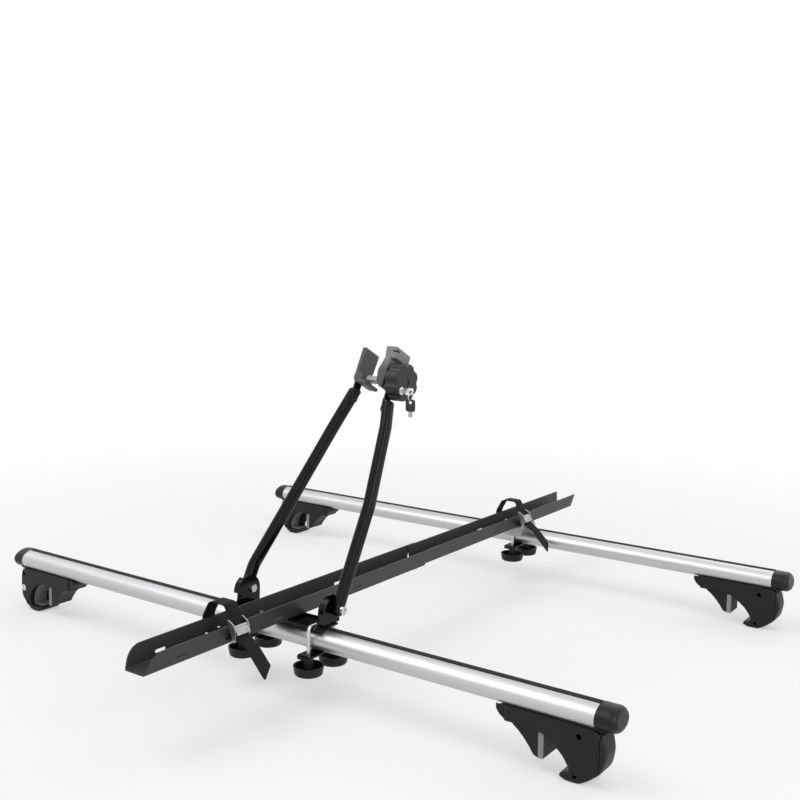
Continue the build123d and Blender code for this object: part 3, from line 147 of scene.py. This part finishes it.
tree.links.new(reach.outputs["Value"], fade.inputs["Value"])
tree.links.new(path.outputs["Is Camera Ray"], sight.inputs[0])
tree.links.new(path.outputs["Is Glossy Ray"], sight.inputs[1])
tree.links.new(fade.outputs["Result"], share.inputs[0])
tree.links.new(sight.outputs[0], share.inputs[1])
tree.links.new(share.outputs[0], blend.inputs[0])
tree.links.new(near.outputs[0], blend.inputs[1])
tree.links.new(far.outputs[0], blend.inputs[2])
tree.links.new(blend.outputs[0], tree.nodes["Material Output"].inputs["Surface"])
floor.data.materials.append(paint)

# Crossbars: oval aluminium extrusions, satin anodised. The die leaves faint straight lines along the
# bar, and the anodised skin has a soft even sheen.


def finish(name, colour, rough, metal=0.0, spec=0.5):
    """A plain principled finish; the section that asks for it adds its grain."""
    made = bpy.data.materials.new(name)
    made.use_nodes = True
    base = made.node_tree.nodes["Principled BSDF"]
    base.inputs["Base Color"].default_value = (*colour, 1)
    base.inputs["Roughness"].default_value = rough
    base.inputs["Metallic"].default_value = metal
    base.inputs["Specular IOR Level"].default_value = spec
    return made


def grain(made, scale, bump, colours=None, roughs=None, stretch=(1, 1, 1)):
    """Noise on object coordinates: bump (strength, depth), and a small spread of colour and roughness."""
    nt = made.node_tree
    base = nt.nodes["Principled BSDF"]
    where = nt.nodes.new("ShaderNodeTexCoord")
    place = nt.nodes.new("ShaderNodeMapping")
    place.inputs["Scale"].default_value = stretch
    noise = nt.nodes.new("ShaderNodeTexNoise")
    noise.inputs["Scale"].default_value = scale
    noise.inputs["Detail"].default_value = 4
    nt.links.new(where.outputs["Object"], place.inputs["Vector"])
    nt.links.new(place.outputs["Vector"], noise.inputs["Vector"])
    lift = nt.nodes.new("ShaderNodeBump")
    lift.inputs["Strength"].default_value, lift.inputs["Distance"].default_value = bump
    nt.links.new(noise.outputs["Fac"], lift.inputs["Height"])
    nt.links.new(lift.outputs["Normal"], base.inputs["Normal"])
    if colours:
        ramp = nt.nodes.new("ShaderNodeValToRGB")
        for stop, position, colour in zip(ramp.color_ramp.elements, (0.3, 0.7), colours):
            stop.position = position
            stop.color = (*colour, 1)
        nt.links.new(noise.outputs["Fac"], ramp.inputs["Fac"])
        nt.links.new(ramp.outputs["Color"], base.inputs["Base Color"])
    if roughs:
        span = nt.nodes.new("ShaderNodeMapRange")
        span.inputs["To Min"].default_value, span.inputs["To Max"].default_value = roughs
        nt.links.new(noise.outputs["Fac"], span.inputs["Value"])
        nt.links.new(span.outputs["Result"], base.inputs["Roughness"])
    return made


def wear(names, made):
    """Puts a finish on CAD nodes through their own material slots."""
    for name in names:
        piece = nodes[name]
        if not piece.material_slots:
            piece.data.materials.append(made)
        for place in piece.material_slots:
            place.material = made


anodised = grain(finish("satin_anodised_aluminium", (0.56, 0.56, 0.57), rough=0.42, metal=1.0),
                 scale=22, bump=(0.25, 0.0002), colours=((0.51, 0.51, 0.52), (0.61, 0.61, 0.62)),
                 roughs=(0.36, 0.48), stretch=(0.3, 60, 60))
wear(["front_bar", "rear_bar"], anodised)

# Strips in the bars' top slots, and the pads between bar and foot: soft black rubber. Each strip fills
# its slot's mouth and is held by a flange under the lips, and the foot's bolt goes through each pad.
rubber = grain(finish("black_rubber", (0.01, 0.01, 0.011), rough=0.72, spec=0.2),
               scale=900, bump=(0.3, 0.0002), colours=((0.007, 0.007, 0.008), (0.014, 0.014, 0.015)),
               roughs=(0.62, 0.82))
wear(["bar_top_strips", "foot_saddle_pads"], rubber)

# End caps: moulded black plastic, a little glossier than the feet. Each is pushed into the bar's end on
# two lugs.
cap_plastic = grain(finish("cap_plastic", (0.008, 0.008, 0.009), rough=0.36, spec=0.25),
                    scale=420, bump=(0.2, 0.0002), colours=((0.006, 0.006, 0.007), (0.011, 0.011, 0.012)),
                    roughs=(0.28, 0.44))
wear(["bar_end_caps"], cap_plastic)

# Feet: glass-filled nylon housings with a fine spark-eroded grain, their nose covers and end blocks.
# Painted shade, near-black with almost no gloss, lies in the fine groove where the cover meets the housing
# and in the side recesses.
feet = ["front_right", "front_left", "rear_right", "rear_left"]
groove_from_middle, groove_half, groove_low = 0.608, 0.0004, 0.0228
foot_gloss, painted_shade_gloss = 0.25, 0.01
side_turn = 0.6
# Recesses and lock hole by the side that they are on: distance from the middle, height and radius.
recesses = {-1: ((0.5785, 0.0653, 0.0042), (0.5739, 0.0087, 0.003)),
            1: ((0.5999, 0.0679, 0.0042), (0.5909, 0.0138, 0.003))}
lock_hole = (0.6013, 0.04065, 0.006)
foot_nylon = grain(finish("foot_nylon", (0.009, 0.009, 0.01), rough=0.46, spec=foot_gloss),
                   scale=750, bump=(0.4, 0.0003), colours=((0.006, 0.006, 0.007), (0.013, 0.013, 0.014)),
                   roughs=(0.38, 0.56))


def coordinates(made, kind="Object"):
    """X, Y and Z of a finish's object coordinates, or of the way that the surface faces."""
    nt = made.node_tree
    split = nt.nodes.new("ShaderNodeSeparateXYZ")
    nt.links.new(nt.nodes["Texture Coordinate"].outputs[kind], split.inputs[0])
    return split.outputs


def worked(made, operation, *inputs):
    """One math node of a finish, fed by sockets or numbers."""
    nt = made.node_tree
    step = nt.nodes.new("ShaderNodeMath")
    step.operation = operation
    for place, value in zip(step.inputs, inputs):
        if isinstance(value, (int, float)):
            place.default_value = value
        else:
            nt.links.new(value, place)
    return step.outputs[0]


def second_colour(made, share, colour):
    """Turns a finish's colour into another one where the share is 1."""
    nt = made.node_tree
    mixed = nt.nodes.new("ShaderNodeMix")
    mixed.data_type = "RGBA"
    mixed.inputs["B"].default_value = (*colour, 1)
    nt.links.new(share, mixed.inputs["Factor"])
    nt.links.new(nt.nodes["Color Ramp"].outputs["Color"], mixed.inputs["A"])
    nt.links.new(mixed.outputs["Result"], nt.nodes["Principled BSDF"].inputs["Base Color"])


place = coordinates(foot_nylon)
from_middle = worked(foot_nylon, "ABSOLUTE", place["X"])
off_groove = worked(foot_nylon, "ABSOLUTE", worked(foot_nylon, "SUBTRACT", from_middle, groove_from_middle))
on_groove = worked(foot_nylon, "LESS_THAN", off_groove, groove_half)
# Painted shade along the groove where the nose cover meets the housing.
painted_shade = worked(foot_nylon, "MULTIPLY", worked(foot_nylon, "GREATER_THAN", place["Z"], groove_low), on_groove)
faces = coordinates(foot_nylon, "Normal")
outward = worked(foot_nylon, "MULTIPLY", worked(foot_nylon, "SIGN", place["X"]), faces["Y"])
# Painted shade on the floors of the screw recesses in the housing's sides.
for side, recess_places in recesses.items():
    on_side = worked(foot_nylon, "GREATER_THAN", worked(foot_nylon, "MULTIPLY", outward, side), side_turn)
    for x, z, radius in recess_places:
        wide = worked(foot_nylon, "ABSOLUTE", worked(foot_nylon, "SUBTRACT", from_middle, x))
        high = worked(foot_nylon, "ABSOLUTE", worked(foot_nylon, "SUBTRACT", place["Z"], z))
        apart = worked(foot_nylon, "ADD", worked(foot_nylon, "POWER", wide, 2),
                       worked(foot_nylon, "POWER", high, 2))
        inside = worked(foot_nylon, "LESS_THAN", apart, radius * radius)
        painted_shade = worked(foot_nylon, "MAXIMUM", painted_shade, worked(foot_nylon, "MULTIPLY", inside, on_side))
# The painted shade is near-black, and its gloss is turned almost off below.
second_colour(foot_nylon, painted_shade, (0.001, 0.001, 0.001))
gloss = worked(foot_nylon, "MULTIPLY_ADD", painted_shade, painted_shade_gloss - foot_gloss, foot_gloss)
foot_nylon.node_tree.links.new(
    gloss, foot_nylon.node_tree.nodes["Principled BSDF"].inputs["Specular IOR Level"])
wear(["foot_end_blocks"], foot_nylon)


def copy_of(node, name):
    """A copy of a CAD piece, merged, selected and active."""
    twin = nodes[node].copy()
    twin.data = nodes[node].data.copy()
    twin.name = name
    twin.hide_render = twin.hide_viewport = False
    scene.collection.objects.link(twin)
    bpy.ops.object.select_all(action="DESELECT")
    twin.select_set(True)
    bpy.context.view_layer.objects.active = twin
    bpy.ops.object.mode_set(mode="EDIT")
    bpy.ops.mesh.select_all(action="SELECT")
    bpy.ops.mesh.remove_doubles(threshold=0.000002)
    bpy.ops.object.mode_set(mode="OBJECT")
    return twin


def even_out(piece, quad_size):
    """Even quads over the whole piece, small enough to keep its holes and walls."""
    even = piece.modifiers.new("even", "REMESH")
    even.mode, even.voxel_size = "VOXEL", quad_size
    bpy.ops.object.modifier_apply(modifier="even")


def soften(piece, passes, kept=0.4, group=""):
    """Melts the piece so that its edges are rounded, and then keeps a share of its faces."""
    melt = piece.modifiers.new("melt", "SMOOTH")
    melt.factor, melt.iterations, melt.vertex_group = 0.5, passes, group
    bpy.ops.object.modifier_apply(modifier="melt")
    thin = piece.modifiers.new("thin", "DECIMATE")
    thin.ratio = kept
    bpy.ops.object.modifier_apply(modifier="thin")
    bpy.ops.object.shade_smooth()


nose_start, nose_reach = 0.572, 0.03
side_face_from_middle = 0.014
cover_reach = 0.03
recess_rim = 0.0016
firm, firm_at_recess = 0.1, 0.02
for foot in feet:
    low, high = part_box("foot_" + foot)
    end = 1 if foot.endswith("right") else -1
    middle = (low[1] + high[1]) / 2
    shell = copy_of("foot_" + foot, "foot_shell_" + foot)
    cover = copy_of("foot_nose_covers", "cover_" + foot)
    for vert in cover.data.vertices:
        vert.select = vert.co.x * end < 0 or abs(vert.co.y - middle) > cover_reach
    for line in list(cover.data.edges) + list(cover.data.polygons):
        line.select = False
    bpy.ops.object.mode_set(mode="EDIT")
    bpy.ops.mesh.select_mode(type="VERT")
    bpy.ops.mesh.delete(type="VERT")
    bpy.ops.object.mode_set(mode="OBJECT")
    bpy.ops.object.select_all(action="DESELECT")
    cover.select_set(True)
    shell.select_set(True)
    bpy.context.view_layer.objects.active = shell
    bpy.ops.object.join()
    even_out(shell, quad_size=0.0011)
    weights = shell.vertex_groups.new(name="soft")
    for vert in shell.data.vertices:
        along = min(1, max(0, (abs(vert.co.x) - nose_start) / nose_reach))
        weight = firm + (1 - firm) * along * along * (3 - 2 * along)
        across = end * (vert.co.y - middle)
        if abs(across) > side_face_from_middle:
            holes = recesses[1] + (lock_hole,) if across > 0 else recesses[-1]
            for x, z, radius in holes:
                if math.hypot(abs(vert.co.x) - x, vert.co.z - z) < radius + recess_rim:
                    weight = firm_at_recess
        weights.add([vert.index], weight, "REPLACE")
    soften(shell, passes=110, group="soft")
    shell.data.materials.clear()
    shell.data.materials.append(foot_nylon)
    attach(shell, "carrier")
    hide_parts("foot_" + foot, "foot_nose_covers")

# Foot jaws: the same nylon as the housings, each with a dark grey rubber pad that has rows of small holes
# in its face and paler cut edges at the sides. A light grey rubber liner lies in each foot's hook.
wear(["foot_jaw_" + foot for foot in feet], foot_nylon)
grey_rubber = grain(finish("grey_rubber", (0.05, 0.05, 0.053), rough=0.66, spec=0.2),
                    scale=600, bump=(0.4, 0.0003), colours=((0.035, 0.035, 0.038), (0.07, 0.07, 0.073)),
                    roughs=(0.55, 0.75))
cut_edge_turn = 0.7
sideways = worked(grey_rubber, "ABSOLUTE", coordinates(grey_rubber, "Normal")["Y"])
on_cut_edge = worked(grey_rubber, "GREATER_THAN", sideways, cut_edge_turn)
second_colour(grey_rubber, on_cut_edge, (0.26, 0.26, 0.265))
wear(["foot_jaw_pad_" + foot for foot in feet], grey_rubber)
liner_rubber = grain(finish("liner_rubber", (0.2, 0.2, 0.205), rough=0.6, spec=0.3),
                     scale=600, bump=(0.4, 0.0003), colours=((0.16, 0.16, 0.165), (0.24, 0.24, 0.245)),
                     roughs=(0.5, 0.7))
wear(["foot_hook_pads"], liner_rubber)

# Lock barrels in the feet and in the clamp knob: turned brass with a bright nickel face. Each sits in a
# round hole and makes a quarter turn.
nickel = grain(finish("nickel", (0.72, 0.71, 0.69), rough=0.2, metal=1.0),
               scale=300, bump=(0.1, 0.0001), roughs=(0.14, 0.28))
wear(["foot_lock_" + foot for foot in feet] + ["knob_lock"], nickel)

# Screws, bolts, nuts and the key ring: zinc-plated steel with the plating's slightly cloudy shine. The
# clamp bolt's end, at the bottom of the knob's recess, is painted near-black and not metallic: painted
# shade.
zinc = grain(finish("zinc_plate", (0.62, 0.62, 0.6), rough=0.3, metal=1.0),
             scale=160, bump=(0.15, 0.0002), colours=((0.5, 0.5, 0.49), (0.7, 0.7, 0.68)),
             roughs=(0.22, 0.42))
wear(["foot_clamp_screws", "foot_bar_bolts", "tray_screws", "front_u_bolts", "rear_bolts", "pivot_bolts",
      "clamp_nut", "key_ring"], zinc)
bolt_shade_start = 0.14
bolt_shaded_end = zinc.copy()
bolt_shaded_end.name = "bolt_with_painted_shade_end"
# Painted shade: beyond this X the bolt's end is near-black and not metallic.
on_end = worked(bolt_shaded_end, "GREATER_THAN", coordinates(bolt_shaded_end)["X"], bolt_shade_start)
second_colour(bolt_shaded_end, on_end, (0.003, 0.003, 0.003))
bare = worked(bolt_shaded_end, "LESS_THAN", on_end, 0.5)
bolt_shaded_end.node_tree.links.new(bare, bolt_shaded_end.node_tree.nodes["Principled BSDF"].inputs["Metallic"])
wear(["clamp_bolt"], bolt_shaded_end)

# Tray: folded sheet steel in two halves, one nested in the other at the middle and screwed. It has a
# dark grey powder coat with a fine orange peel.
tray_coat = grain(finish("tray_powder_coat", (0.034, 0.034, 0.036), rough=0.42, spec=0.32),
                  scale=520, bump=(0.3, 0.0003), colours=((0.028, 0.028, 0.03), (0.04, 0.04, 0.043)),
                  roughs=(0.34, 0.5))
wear(["tray_front", "tray_rear"], tray_coat)

# Mounts on the bars: base plate, pivot brackets and clamp plates, pressed from sheet steel, with a thin
# glossy black powder coat.
black_coat = grain(finish("black_powder_coat", (0.004, 0.004, 0.0045), rough=0.12, spec=0.18),
                   scale=240, bump=(0.08, 0.0001), colours=((0.003, 0.003, 0.0035), (0.005, 0.005, 0.0055)),
                   roughs=(0.09, 0.15))
wear(["base_plate", "pivot_brackets", "front_clamp_plates", "rear_clamp_plate"], black_coat)

# Holder arms: bent steel tube with a solid rounded foot and a flattened eye at the top, in the same
# black powder coat. Each turns on its pivot bolt, and the tube's edges are rounded.
for arm, body in (("near_arm", "near_arm"), ("far_arm", "holder")):
    tube = copy_of(arm, arm + "_tube")
    even_out(tube, quad_size=0.001)
    soften(tube, passes=30)
    tube.data.materials.clear()
    tube.data.materials.append(black_coat)
    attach(tube, body)
    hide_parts(arm)

# Hand knobs under the bars: black plastic cups moulded with a fine matt grain. The boss in the middle
# of each one has a threaded hole for the end of a mount's bolt.
knob_plastic = grain(finish("knob_plastic", (0.009, 0.009, 0.01), rough=0.44, spec=0.25),
                     scale=600, bump=(0.35, 0.0003), colours=((0.006, 0.006, 0.007), (0.013, 0.013, 0.014)),
                     roughs=(0.36, 0.52))
hand_knobs = [name for name in nodes if "_knob_" in name and not name.startswith("foot")]
wear(hand_knobs, knob_plastic)

# Rear saddle: a light grey plastic moulding between bar and tray, hollowed to the bar's oval. The
# tray's rear bolts go down through it.
saddle_plastic = grain(finish("saddle_plastic", (0.5, 0.5, 0.5), rough=0.45, spec=0.4),
                       scale=500, bump=(0.3, 0.0003), colours=((0.44, 0.44, 0.44), (0.56, 0.56, 0.56)),
                       roughs=(0.4, 0.55))
wear(["rear_saddle"], saddle_plastic)

# Frame clamp: two grey plastic jaws on the arms' ends and the big lobed knob in black plastic, which
# draws them together. The near jaw's horn turns paler grey towards its top: a painted highlight from above.
horn_low, horn_high = 0.497, 0.515
grip_plastic = grain(finish("grip_plastic", (0.016, 0.016, 0.017), rough=0.42, spec=0.35),
                     scale=500, bump=(0.3, 0.0003), colours=((0.012, 0.012, 0.013), (0.021, 0.021, 0.022)),
                     roughs=(0.34, 0.5))
grey_jaw = grain(finish("grey_jaw_plastic", (0.065, 0.065, 0.068), rough=0.46, spec=0.4),
                 scale=500, bump=(0.3, 0.0003), colours=((0.055, 0.055, 0.058), (0.075, 0.075, 0.078)),
                 roughs=(0.38, 0.54))
horn_painted_highlight = grey_jaw.copy()
horn_painted_highlight.name = "horn_painted_highlight"
tree = horn_painted_highlight.node_tree
# Painted highlight: the horn's grey turns paler with height, from horn_low up to horn_high.
towards_top = tree.nodes.new("ShaderNodeMapRange")
for socket, value in (("From Min", horn_low), ("From Max", horn_high), ("To Min", 0), ("To Max", 1)):
    towards_top.inputs[socket].default_value = value
tree.links.new(coordinates(horn_painted_highlight)["Z"], towards_top.inputs["Value"])
second_colour(horn_painted_highlight, towards_top.outputs["Result"], (0.2, 0.2, 0.203))
for node, name, body, made in (("clamp_knob", "clamp_grip", "clamp_knob", grip_plastic),
                               ("near_jaw", "near_jaw_moulding", "near_arm", horn_painted_highlight),
                               ("far_jaw", "far_jaw_moulding", "holder", grey_jaw)):
    moulding = copy_of(node, name)
    even_out(moulding, quad_size=0.0007)
    soften(moulding, passes=8)
    moulding.data.materials.clear()
    moulding.data.materials.append(made)
    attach(moulding, body)
    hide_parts(node)

# Keys: stamped nickel-plated steel. The one in the lock is bare, and the spare one on the ring has a
# dark grey plastic head moulded over it.
head_low = 0.4333
key_metal = grain(finish("key_metal", (0.45, 0.45, 0.44), rough=0.3, metal=1.0),
                  scale=300, bump=(0.15, 0.0001), colours=((0.36, 0.36, 0.35), (0.52, 0.52, 0.5)),
                  roughs=(0.24, 0.4))
wear(["lock_key"], key_metal)
key_with_head = key_metal.copy()
key_with_head.name = "key_with_head"
tree = key_with_head.node_tree
head = tree.nodes.new("ShaderNodeBsdfPrincipled")
head.inputs["Base Color"].default_value = (0.03, 0.03, 0.032, 1)
head.inputs["Roughness"].default_value = 0.45
head.inputs["Specular IOR Level"].default_value = 0.3
join = tree.nodes.new("ShaderNodeMixShader")
on_head = worked(key_with_head, "GREATER_THAN", coordinates(key_with_head)["Z"], head_low)
tree.links.new(tree.nodes["Bump"].outputs["Normal"], head.inputs["Normal"])
tree.links.new(on_head, join.inputs[0])
tree.links.new(tree.nodes["Principled BSDF"].outputs[0], join.inputs[1])
tree.links.new(head.outputs[0], join.inputs[2])
tree.links.new(join.outputs[0], tree.nodes["Material Output"].inputs["Surface"])
wear(["spare_key"], key_with_head)

# Strap buckles: frames and cams of cast zinc, tumbled bright. Each cam is a roller with a thumb plate
# and turns on its pins over the webbing.
cast = grain(finish("cast_zinc", (0.42, 0.42, 0.42), rough=0.3, metal=1.0),
             scale=260, bump=(0.2, 0.0002), colours=((0.34, 0.34, 0.34), (0.5, 0.5, 0.5)),
             roughs=(0.24, 0.42))
wear(["strap_buckle_frames", "front_buckle_cam", "rear_buckle_cam"], cast)

# Clamp spring: hard-drawn steel wire, 1.6 mm thick, wound in eleven open turns round the clamp bolt. It
# pushes the near jaw away from the far one when the knob is let out.
wire_radius, coil_radius, coil_length, coil_turns = 0.0008, 0.006, 0.0354, 11
coil_start = (0.0712, -0.13504, 0.47706)
holder_lean = math.radians(27.5)
coil_pitch = coil_length / coil_turns
bpy.ops.object.select_all(action="DESELECT")
bpy.ops.mesh.primitive_circle_add(vertices=14, radius=wire_radius, fill_type="NOTHING",
                                  rotation=(0, math.atan(coil_pitch / (2 * math.pi * coil_radius)), 0))
coil = bpy.context.object
coil.name = "clamp_coil"
bpy.ops.object.transform_apply(location=False, rotation=True, scale=True)
bpy.ops.object.mode_set(mode="EDIT")
bpy.ops.mesh.select_all(action="SELECT")
bpy.ops.transform.translate(value=(0, coil_radius, 0))
bpy.ops.object.mode_set(mode="OBJECT")
wind = coil.modifiers.new("wind", "SCREW")
wind.axis, wind.iterations, wind.screw_offset = "X", coil_turns, coil_pitch
wind.steps = wind.render_steps = 40
bpy.ops.object.modifier_apply(modifier="wind")
bpy.ops.object.mode_set(mode="EDIT")
bpy.ops.mesh.select_all(action="SELECT")
bpy.ops.mesh.fill_holes(sides=0)
bpy.ops.mesh.normals_make_consistent(inside=False)
bpy.ops.object.mode_set(mode="OBJECT")
coil.location = coil_start
coil.rotation_euler = (-holder_lean, 0, 0)
bpy.ops.object.transform_apply(location=True, rotation=True, scale=True)
bpy.ops.object.shade_smooth()
coil.data.materials.append(grain(finish("spring_steel", (0.55, 0.54, 0.52), rough=0.3, metal=1.0),
                                 scale=420, bump=(0.2, 0.0001),
                                 colours=((0.42, 0.41, 0.4), (0.64, 0.63, 0.61)), roughs=(0.24, 0.44)))
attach(coil, "holder")
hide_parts("clamp_spring")

# Tray straps: black polyester webbing, 25 by 1.6 mm, sewn round the buckle's rod. Each goes in through
# one side of the tray, over its floor, out of the other side, up in a loop and back through the buckle,
# and its slanted cut end hangs free beyond it.
webbing_width, webbing_thick = 0.025, 0.0016
strap_x, tray_floor = 0.058, 0.1176
steps_per_radian, least_steps = 8, 4
buckle_lean = math.radians(25)
webbing = finish("woven_polyester", (0.01, 0.01, 0.011), rough=0.8, spec=0.15)
weave = webbing.node_tree
shader = weave.nodes["Principled BSDF"]
shader.inputs["Sheen Weight"].default_value = 0.06
shader.inputs["Sheen Roughness"].default_value = 0.4
flat = weave.nodes.new("ShaderNodeUVMap")
flat.uv_map = "cut"
yarn = weave.nodes.new("ShaderNodeTexBrick")
for socket, value in (("Scale", 1000), ("Mortar Size", 0.16), ("Mortar Smooth", 1), ("Brick Width", 2.4),
                      ("Row Height", 1.25), ("Color1", (0.007, 0.007, 0.008, 1)),
                      ("Color2", (0.016, 0.016, 0.017, 1)), ("Mortar", (0.003, 0.003, 0.003, 1))):
    yarn.inputs[socket].default_value = value
lift = weave.nodes.new("ShaderNodeBump")
lift.invert = True
lift.inputs["Strength"].default_value = 0.9
lift.inputs["Distance"].default_value = 0.0004
weave.links.new(flat.outputs["UV"], yarn.inputs["Vector"])
weave.links.new(yarn.outputs["Fac"], lift.inputs["Height"])
weave.links.new(yarn.outputs["Color"], shader.inputs["Base Color"])
weave.links.new(lift.outputs["Normal"], shader.inputs["Normal"])


def buckle_place(down, out):
    """Millimetres down the buckle and out from it, as millimetres from the tray's middle and its floor."""
    return (35.5 + down * math.sin(buckle_lean) + out * math.cos(buckle_lean),
            28 - down * math.cos(buckle_lean) + out * math.sin(buckle_lean))


def lay_webbing(name, y, floor_height):
    """The webbing as one edge across it, pushed out along each run and spun round each turn.

    The route's corners are in millimetres from the tray's middle and its floor, and each has a bend radius.
    """
    corners = [buckle_place(13.75, -3.25), buckle_place(19.25, -3.25), buckle_place(19.25, -7.925),
               (28.8, 10), (15.2, 10), (12.2, floor_height), (-12.2, floor_height), (-15.2, 10),
               (-28.8, 10), (-28.8, 33), (-15, 58.5), (15.63, 58.5), (34.65, 19.88), (60.2, 0.62),
               (96, -37.1)]
    bends = [2.61, 2.2, 3, 3, 3, 3, 3, 3, 12, 12, 7.2, 3, 24]
    places = [Vector((strap_x + x / 1000, y, tray_floor + z / 1000)) for x, z in corners]
    runs, begin = [], places[0]
    for before, corner, after, bend in zip(places, places[1:], places[2:], bends):
        ahead, onward = (corner - before).normalized(), (after - corner).normalized()
        turn = math.atan2(ahead.cross(onward).y, ahead.dot(onward))
        cut = bend / 1000 * math.tan(abs(turn) / 2)
        side = Vector((ahead.z, 0, -ahead.x)) * math.copysign(bend / 1000, turn)
        runs.append((begin, corner - ahead * cut, corner - ahead * cut + side, turn))
        begin = corner + onward * cut
    runs.append((begin, places[-1], None, 0))
    first_start, first_end = runs[0][:2]
    first = first_end - first_start
    bpy.ops.object.select_all(action="DESELECT")
    bpy.ops.mesh.primitive_plane_add(size=1, location=(first_start + first_end) / 2,
                                     rotation=(0, -math.atan2(first.z, first.x), 0))
    band = bpy.context.object
    band.name = name
    band.scale = (first.length, webbing_width, 1)
    bpy.ops.object.transform_apply(location=True, rotation=True, scale=True)
    for vert in band.data.vertices:
        vert.select = math.hypot(vert.co.x - first_end.x, vert.co.z - first_end.z) < 1e-5
    for edge in band.data.edges:
        edge.select = all(band.data.vertices[i].select for i in edge.vertices)
    for face in band.data.polygons:
        face.select = False
    rings, length = {}, 0
    bpy.ops.object.mode_set(mode="EDIT")
    for number, (start, end, middle, turn) in enumerate(runs):
        if number:
            bpy.ops.mesh.extrude_region_move(TRANSFORM_OT_translate={"value": end - start})
        rings[round(start.x, 6), round(start.z, 6)] = length
        length += (end - start).length
        rings[round(end.x, 6), round(end.z, 6)] = length
        if turn:
            steps = max(least_steps, round(abs(turn) * steps_per_radian))
            bpy.ops.mesh.spin(steps=steps, angle=-turn, center=middle, axis=(0, 1, 0))
            arm = end - middle
            for step in range(1, steps + 1):
                spoke = Matrix.Rotation(turn * step / steps, 3, "Y") @ arm + middle
                rings[round(spoke.x, 6), round(spoke.z, 6)] = length + arm.length * abs(turn) * step / steps
            length += arm.length * abs(turn)
    bpy.ops.object.mode_set(mode="OBJECT")
    cut_map = band.data.uv_layers.new(name="cut")
    for loop in band.data.loops:
        co = band.data.vertices[loop.vertex_index].co
        ring = min(rings, key=lambda spot: (spot[0] - co.x) ** 2 + (spot[1] - co.z) ** 2)
        cut_map.data[loop.index].uv = (rings[ring], co.y - y)
    return band


tail_way = Vector((0.6884, 0, -0.7254))
tail_end_x, tail_end_z = 0.154, 0.0805
slant_along, slant_across = 30, 1.6
corner_x, corner_radius = 0.1515, 0.0045
for name, y, floor_height, node in (("front_webbing", -0.46849, 3.1, "front_strap"),
                                    ("rear_webbing", 0.38448, 7.25, "rear_strap")):
    band = lay_webbing(name, y, floor_height)
    bpy.ops.object.mode_set(mode="EDIT")
    bpy.ops.mesh.select_all(action="SELECT")
    bpy.ops.mesh.bisect(plane_co=(tail_end_x, y - webbing_width / 2, tail_end_z),
                        plane_no=tail_way * slant_along + Vector((0, slant_across, 0)), clear_outer=True)
    bpy.ops.object.mode_set(mode="OBJECT")
    for vert in band.data.vertices:
        vert.select = vert.co.x > corner_x
    for line in list(band.data.edges) + list(band.data.polygons):
        line.select = False
    bpy.ops.object.mode_set(mode="EDIT")
    bpy.ops.mesh.select_mode(type="VERT")
    bpy.ops.mesh.bevel(offset=corner_radius, segments=5, affect="VERTICES")
    bpy.ops.object.mode_set(mode="OBJECT")
    thicken = band.modifiers.new("thickness", "SOLIDIFY")
    thicken.thickness, thicken.offset = webbing_thick, 0
    bpy.ops.object.modifier_apply(modifier="thickness")
    selvedge = band.modifiers.new("selvedge", "BEVEL")
    selvedge.width, selvedge.segments, selvedge.angle_limit = 0.0005, 2, math.radians(50)
    bpy.ops.object.modifier_apply(modifier="selvedge")
    bpy.ops.object.shade_smooth_by_angle(angle=math.radians(50))
    band.data.materials.append(webbing)
    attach(band, "carrier")
    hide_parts(node)
